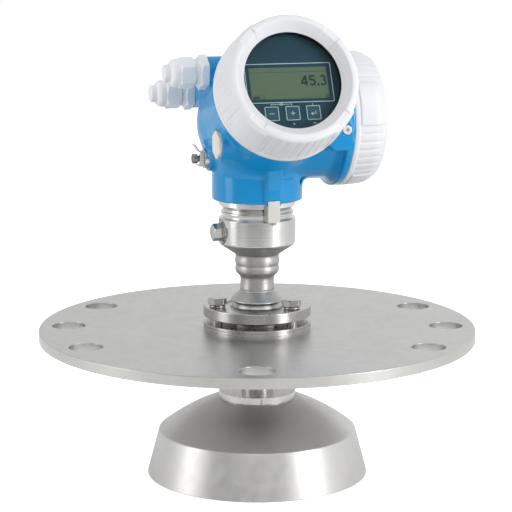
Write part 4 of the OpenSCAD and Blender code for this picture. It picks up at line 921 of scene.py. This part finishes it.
keyXs, keyY, keyHalf, keyStroke = (-16.8, -1.0, 14.8), -22.9, (5.0, 5.1), 0.42
lines = [ink(corners(-33.4, -14.5, 31.9, 15.0, 0.6), 0.5, *onFilm, True)]
for x in keyXs:
    lines.append(ink([[x, -17.1], [x, -15.7]], 0.32, *onFilm))
lines.append(ink([[keyXs[0], -15.9], [keyXs[1], -15.9]], 0.3, *onFilm))
lines.append(ink(corners(-10.0, -16.6, -7.8, -15.2, 0.3), 0.3, *onFilm, True))
lines.append(ink(arcPoints(keyXs[1], -30.9, 0.55, 0, 330, 12), 0.28, *onFilm, True))
lines.append(ink([[keyXs[2] - 1.3, -30.7], [keyXs[2] + 1.3, -30.7]], 0.4, *onFilm))
printed("faceLines", lines, "head", whiteInk)

marks = {
    "minus": [[[-1.9, 0], [1.9, 0]]],
    "plus": [[[-1.7, 0], [1.7, 0]], [[0, -1.7], [0, 1.7]]],
    "enter": [[[1.6, 1.5], [1.6, -0.7], [-1.6, -0.7]], [[-0.5, 0.4], [-1.7, -0.7], [-0.5, -1.8]]],
}
for (name, paths), x in zip(marks.items(), keyXs):
    wide, tall = keyHalf
    lines = [ink(corners(x - wide, keyY - tall, x + wide, keyY + tall, 0.9), keyStroke, *onKey, True)]
    lines += [ink(np.asarray(path) + [x, keyY], keyStroke, *onKey) for path in paths]
    printed(name + "Mark", lines, name + "_key", whiteInk)
print("print made")


# Smooth curve through the given points (Catmull-Rom): cubic between neighbours, tangent to their chord.
def flowing(points, steps=3):
    p = np.asarray(points, float)
    q = np.concatenate([[2 * p[0] - p[1]], p, [2 * p[-1] - p[-2]]])
    t = np.linspace(0, 1, steps, endpoint=False)[:, None, None]
    a, b, c, d = q[:-3], q[1:-2], q[2:-1], q[3:]
    square, cube = 2 * a - 5 * b + 4 * c - d, 3 * b - a - 3 * c + d
    curve = 0.5 * (2 * b + (c - a) * t + square * t ** 2 + cube * t ** 3)
    return np.concatenate([curve.transpose(1, 0, 2).reshape(-1, 2), p[-1:]])


# share is how far down the ball it is cut off; the port is a flat spot on the body, at a turn in degrees.
neck = {"ballZ": 14.9, "ballR": 22.0, "share": 0.81, "footStart": 13.46, "bodyR": 29.8, "body": (75.8, 93.6),
        "purgeZ": 84.04, "purgeTurn": 200, "flat": 27.96, "spot": 9.75, "steps": 320}
bodyR, (bodyLow, bodyHigh) = neck["bodyR"], neck["body"]
ballLow = neck["ballZ"] - neck["share"] * neck["ballR"]
t = np.linspace(math.asin(-neck["share"]), math.asin(neck["footStart"] / neck["ballR"]), 26)
ball = np.stack([neck["ballR"] * np.cos(t), neck["ballZ"] + neck["ballR"] * np.sin(t)], 1)
foot = softened([[17.4, 28.36], [20.4, 28.8], [20.9, 29.25], [20.5, 30.0], [14.6, 35.9], [13.6, 36.6],
                 [13.2, 37.2], [13.5, 38.3]], [0, 0.3, 0.5, 1.0, 0.7, 0.3, 0.3, 0], 4, False)
stem = flowing([[13.5, 38.3], [13.35, 40.2], [13.15, 42.5], [13.05, 44.8], [13.15, 47.0], [13.9, 48.7],
                [15.4, 50.2], [16.6, 51.6], [17.05, 53.2], [17.1, 54.8], [16.85, 56.0], [16.65, 56.9],
                [16.85, 57.8], [17.2, 59.1], [17.3, 60.6], [17.15, 62.2], [16.9, 63.4], [16.85, 64.6]])
flare = softened([[16.85, 64.6], [17.1, 65.6], [28.6, 73.4], [bodyR, 75.0], [bodyR, bodyLow]],
                 [0, 1.0, 1.2, 0.8, 0], 6, False)
body = np.stack([np.full(46, bodyR), np.linspace(bodyLow, bodyHigh, 46)], 1)
waist = softened([[bodyR, bodyHigh], [bodyR, 94.1], [29.2, 94.7], [27.2, 94.9], [26.8, 95.4], [26.8, 97.5],
                  [28.3, 97.9], [28.3, 99.5], [26.8, 99.8], [26.8, 102.15], [20.0, 102.2]],
                 [0, 0.2, 0.3, 0.2, 0.2, 0.2, 0.25, 0.25, 0.2, 0.2, 0], 3, False)
spigot = np.array([[20.0, 107.9], [18.0, 107.9], [18.0, 110.5], [20.0, 110.5], [20.0, 118.0], [18.4, 118.0],
                   [18.4, 119.6], [20.0, 119.6], [20.0, 121.9], [19.0, 122.9], [9.0, 122.9], [9.0, 113.9],
                   [7.5, 113.9], [7.5, 3.1], [10.0, 3.1], [10.0, ballLow]])


# The body's wall is cut back to a flat inside the circle round the purge port: r = flat / cos(turn).
def portFlat(r, z, a):
    turn = (a - math.radians(neck["purgeTurn"]) + math.pi) % (2 * math.pi) - math.pi
    beside = neck["flat"] * np.tan(np.clip(turn, -1, 1))
    within = (np.hypot(beside, z - neck["purgeZ"]) < neck["spot"]) & (np.abs(turn) < 0.5) & (r > 27)
    return np.where(within, np.minimum(r, neck["flat"] / np.cos(np.clip(turn, -1, 1))), r), z


outline = np.concatenate([ball, foot[1:], stem[1:], flare[1:], body[1:], waist[1:], spigot])
solidPiece("neckTurned", [turned(outline, neck["steps"], shape=portFlat)], "neck_antenna", "neck",
           looks["neck"], sharp=34)
print("neck made")

# The clamp bolts: a chamfered hexagon head on a plain shank, over a split spring washer.
# A washer is a rectangle carried once round, rising by a share of its thickness from one end to the other.
clamp = {"first": 83, "circle": 33.5, "flats": 13.0, "head": (27.85, 33.0), "headTurn": 20, "shank": 3.95,
         "low": 8.6, "washer": (4.15, 6.35, 1.15), "rise": (26.05, 0.3), "split": 60, "round": 352}
heads, washers = [], []
for k in range(3):
    turn = math.radians(clamp["first"] + 120 * k)
    at = shifted(upright, clamp["circle"] * math.cos(turn), clamp["circle"] * math.sin(turn))
    low, high = clamp["head"]
    headTurn = turn + math.radians(clamp["headTurn"])
    heads.append(hexBar(clamp["flats"], low, high, at, headTurn, both=True, edge=0.5))
    shank = clamp["shank"]
    heads.append(turned(softened([[0, clamp["low"]], [shank, clamp["low"]], [shank, low + 0.4], [0, low + 0.4]],
                                 [0, 0.6, 0, 0], 4, False), 96, at, ring=False))
    inner, outer, thick = clamp["washer"]
    section = softened([[inner, 0], [outer, 0], [outer, thick], [inner, thick]], [0.25, 0.25, 0.25, 0.25], 3)
    share = np.linspace(0, 1, 97)[:, None]
    bend = turn + math.radians(clamp["split"]) + share * math.radians(clamp["round"])
    r, z = section[None, :, 0], section[None, :, 1] + clamp["rise"][0] + clamp["rise"][1] * share
    coil = carried(np.stack([r * np.cos(bend), r * np.sin(bend), z + 0 * bend], -1), at)
    ends = [np.repeat(coil[n:n + 1].mean(1, keepdims=True), coil.shape[1], 1) for n in (0, -1)]
    washers.append((np.concatenate([ends[0], coil, ends[1]]), False))
for name, grids, part in (("clampBolts", heads, "clamp_bolts"), ("springWashers", washers, "spring_washers")):
    solidPiece(name, grids, bodyOf[part], part, looks[part])
print("clamp bolts made")


# The ground terminal: a bent clamp strip with a leaning arm, under a slotted screw with a collar.
# Up is x and outwards is z. The arm leans from outwards towards up by the given turn.
low, high = lowHigh("ground_washer", headAxes)
ground = axes(carried(np.array([high[0], 0, (low[2] + high[2]) / 2]), headAxes), (0, 0, 1), -sideways)
strip = {"half": 5.6, "wide": 4.4, "seat": 3.2, "thick": 1.0, "wall": 4.4, "bend": 3.1, "arm": 7.2, "lean": 55,
         "ear": 0.9}
seat, thick, half = strip["seat"], strip["thick"], strip["half"]
lean = math.radians(strip["lean"])
along, across = np.array([math.sin(lean), math.cos(lean)]), np.array([-math.cos(lean), math.sin(lean)])
start = np.array([half, seat + strip["bend"]])
tip = start + strip["arm"] * along
outline = [[-half, seat + strip["wall"]], [-half, seat], [half, seat], start, tip, tip + thick * across,
           start + thick * across + 0.35 * along, [half - thick, seat + thick], [-half + thick, seat + thick],
           [-half + thick, seat + strip["wall"]]]
outline = softened(outline, [0.2, 0.9, 0.9, 0.6, 0.3, 0.3, 0.3, 0.3, 0.3, 0.2], 4)
ears = softened([[-5.3, seat + 0.4], [5.3, seat + 0.4], [5.3, seat + 3.4], [-5.3, seat + 4.2]], 0.5, 4)
bentStrip("groundClampEar", ears, -strip["wide"], strip["ear"] - strip["wide"], ground, "ground_clamp")
bentStrip("groundClamp", outline, -strip["wide"], strip["wide"], ground, "ground_clamp")

# The slot across the screw's head takes the face down to its floor where |y| is less than half its width.
screw = {"shank": 2.4, "collar": (4.3, 4.25, 5.4), "head": (3.7, 8.0, 11.7), "slot": (0.65, 10.2)}
collar, head, slot = screw["collar"], screw["head"], screw["slot"]
profile = softened([[0, -8.9], [screw["shank"], -8.9], [screw["shank"], collar[1]], [collar[0], collar[1]],
                    [collar[0], collar[2]], [screw["shank"], collar[2]], [screw["shank"], head[1]],
                    [head[0], head[1]], [head[0], head[2]], [head[0] - 0.6, head[2]]],
                   [0, 0.4, 0, 0.3, 0.3, 0, 0, 0.4, 0.5, 0], 4, False)
face = np.stack([np.linspace(head[0] - 0.6, 0, 24), np.full(24, head[2])], 1)


def slotted(r, z, a):
    return r, np.where((np.abs(r * np.sin(a)) < slot[0]) & (z > slot[1]), slot[1], z)


screwTurned = turned(np.concatenate([profile, face[1:]]), 240, ground, slotted, ring=False)
solidPiece("groundScrew", [screwTurned], bodyOf["ground_screw"], "ground_screw", looks["ground_screw"])
print("ground terminal made")


# Pale paper. Seen directly it is lifted to white, and what the object shades stays a little darker.
stage = {"size": 12, "middle": (5.2, 5.1), "gap": 0.0004, "lift": 0.55, "glow": 0.2, "grey": 0.86}
low = min(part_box("antenna_bell")[0].z, cadBox[0][2])
bpy.ops.mesh.primitive_plane_add(size=stage["size"], location=(*stage["middle"], low - stage["gap"]))
floor = bpy.context.object
floor.name = "floor"
paper = bpy.data.materials.new("paper")
paper.use_nodes = True
tree = paper.node_tree
shader = next(n for n in tree.nodes if n.type == "BSDF_PRINCIPLED")
shader.inputs["Base Color"].default_value = (stage["grey"],) * 3 + (1,)
shader.inputs["Roughness"].default_value = 0.9
shader.inputs["Specular IOR Level"].default_value = 0.0
path = node(tree, "LightPath")
shader.inputs["Emission Color"].default_value = (1, 1, 1, 1)
lift = node(tree, "Math", {0: path.outputs["Is Camera Ray"], 1: stage["lift"], 2: stage["glow"]},
            operation="MULTIPLY_ADD")
tree.links.new(lift.outputs[0], shader.inputs["Emission Strength"])
floor.data.materials.append(paper)


# Each lamp: place, width, height and watts; all of them aim at the middle of the object.
lamps = {
    "topLight": ((0.0, -0.1, 1.8), 3.0, 3.0, 8), "leftLight": ((-1.35, -0.35, 0.55), 0.6, 1.5, 6),
    "rightLight": ((1.25, -0.8, 0.5), 0.38, 1.5, 11), "frontLight": ((-0.1, -1.9, 1.25), 1.9, 0.9, 9),
}
middle = Vector((0, 0, 0.05))
for name, (place, width, height, power) in lamps.items():
    lamp = bpy.data.lights.new(name, "AREA")
    lamp.shape, lamp.size, lamp.size_y, lamp.energy = "RECTANGLE", width, height, power
    made = bpy.data.objects.new(name, lamp)
    bpy.context.scene.collection.objects.link(made)
    made.location = place
    made.rotation_euler = (middle - Vector(place)).to_track_quat("-Z", "Y").to_euler()

world = bpy.data.worlds.new("studio")
bpy.context.scene.world = world
world.use_nodes = True
tree = world.node_tree
tree.nodes.clear()
path = node(tree, "LightPath")
seen = node(tree, "Background", {"Color": (1, 1, 1, 1), "Strength": 1.0})
# The room is bright behind and at the sides, most at the right, and darker above and at the front.
# For each axis: where the change starts and ends, and the strength there.
room = {1: (-0.98, 0.0, 0.43, 1.0), 2: (0.3, 0.9, 1.0, 0.5), 0: (-0.6, 0.6, 0.78, 1.08)}
aim = node(tree, "SeparateXYZ", {"Vector": node(tree, "TexCoord").outputs["Generated"]})
shares = []
for axis, values in room.items():
    ends = dict(zip(("From Min", "From Max", "To Min", "To Max"), values))
    shares.append(node(tree, "MapRange", {"Value": aim.outputs[axis], **ends}, interpolation_type="SMOOTHSTEP"))
level = shares[0]
for share in shares[1:]:
    level = node(tree, "Math", {0: level.outputs[0], 1: share.outputs[0]}, operation="MULTIPLY")
ambient = node(tree, "Background", {"Color": (0.985, 0.99, 1, 1), "Strength": level.outputs[0]})
both = node(tree, "MixShader", {0: path.outputs["Is Camera Ray"], 1: ambient.outputs[0], 2: seen.outputs[0]})
tree.links.new(both.outputs[0], node(tree, "OutputWorld").inputs["Surface"])

view = {"place": (-0.00091, -1.4817, 0.3379), "down": 10.5, "lens": 136.26, "sensor": 36, "clip": (0.05, 30)}
lens = bpy.data.cameras.new("camera")
lens.lens, lens.sensor_width = view["lens"], view["sensor"]
lens.clip_start, lens.clip_end = view["clip"]
camera = bpy.data.objects.new("camera", lens)
bpy.context.scene.collection.objects.link(camera)
camera.location = view["place"]
camera.rotation_euler = (math.pi / 2 - math.radians(view["down"]), 0, 0)
bpy.context.scene.camera = camera
bpy.context.scene.view_settings.view_transform = "Standard"
print("stage set")
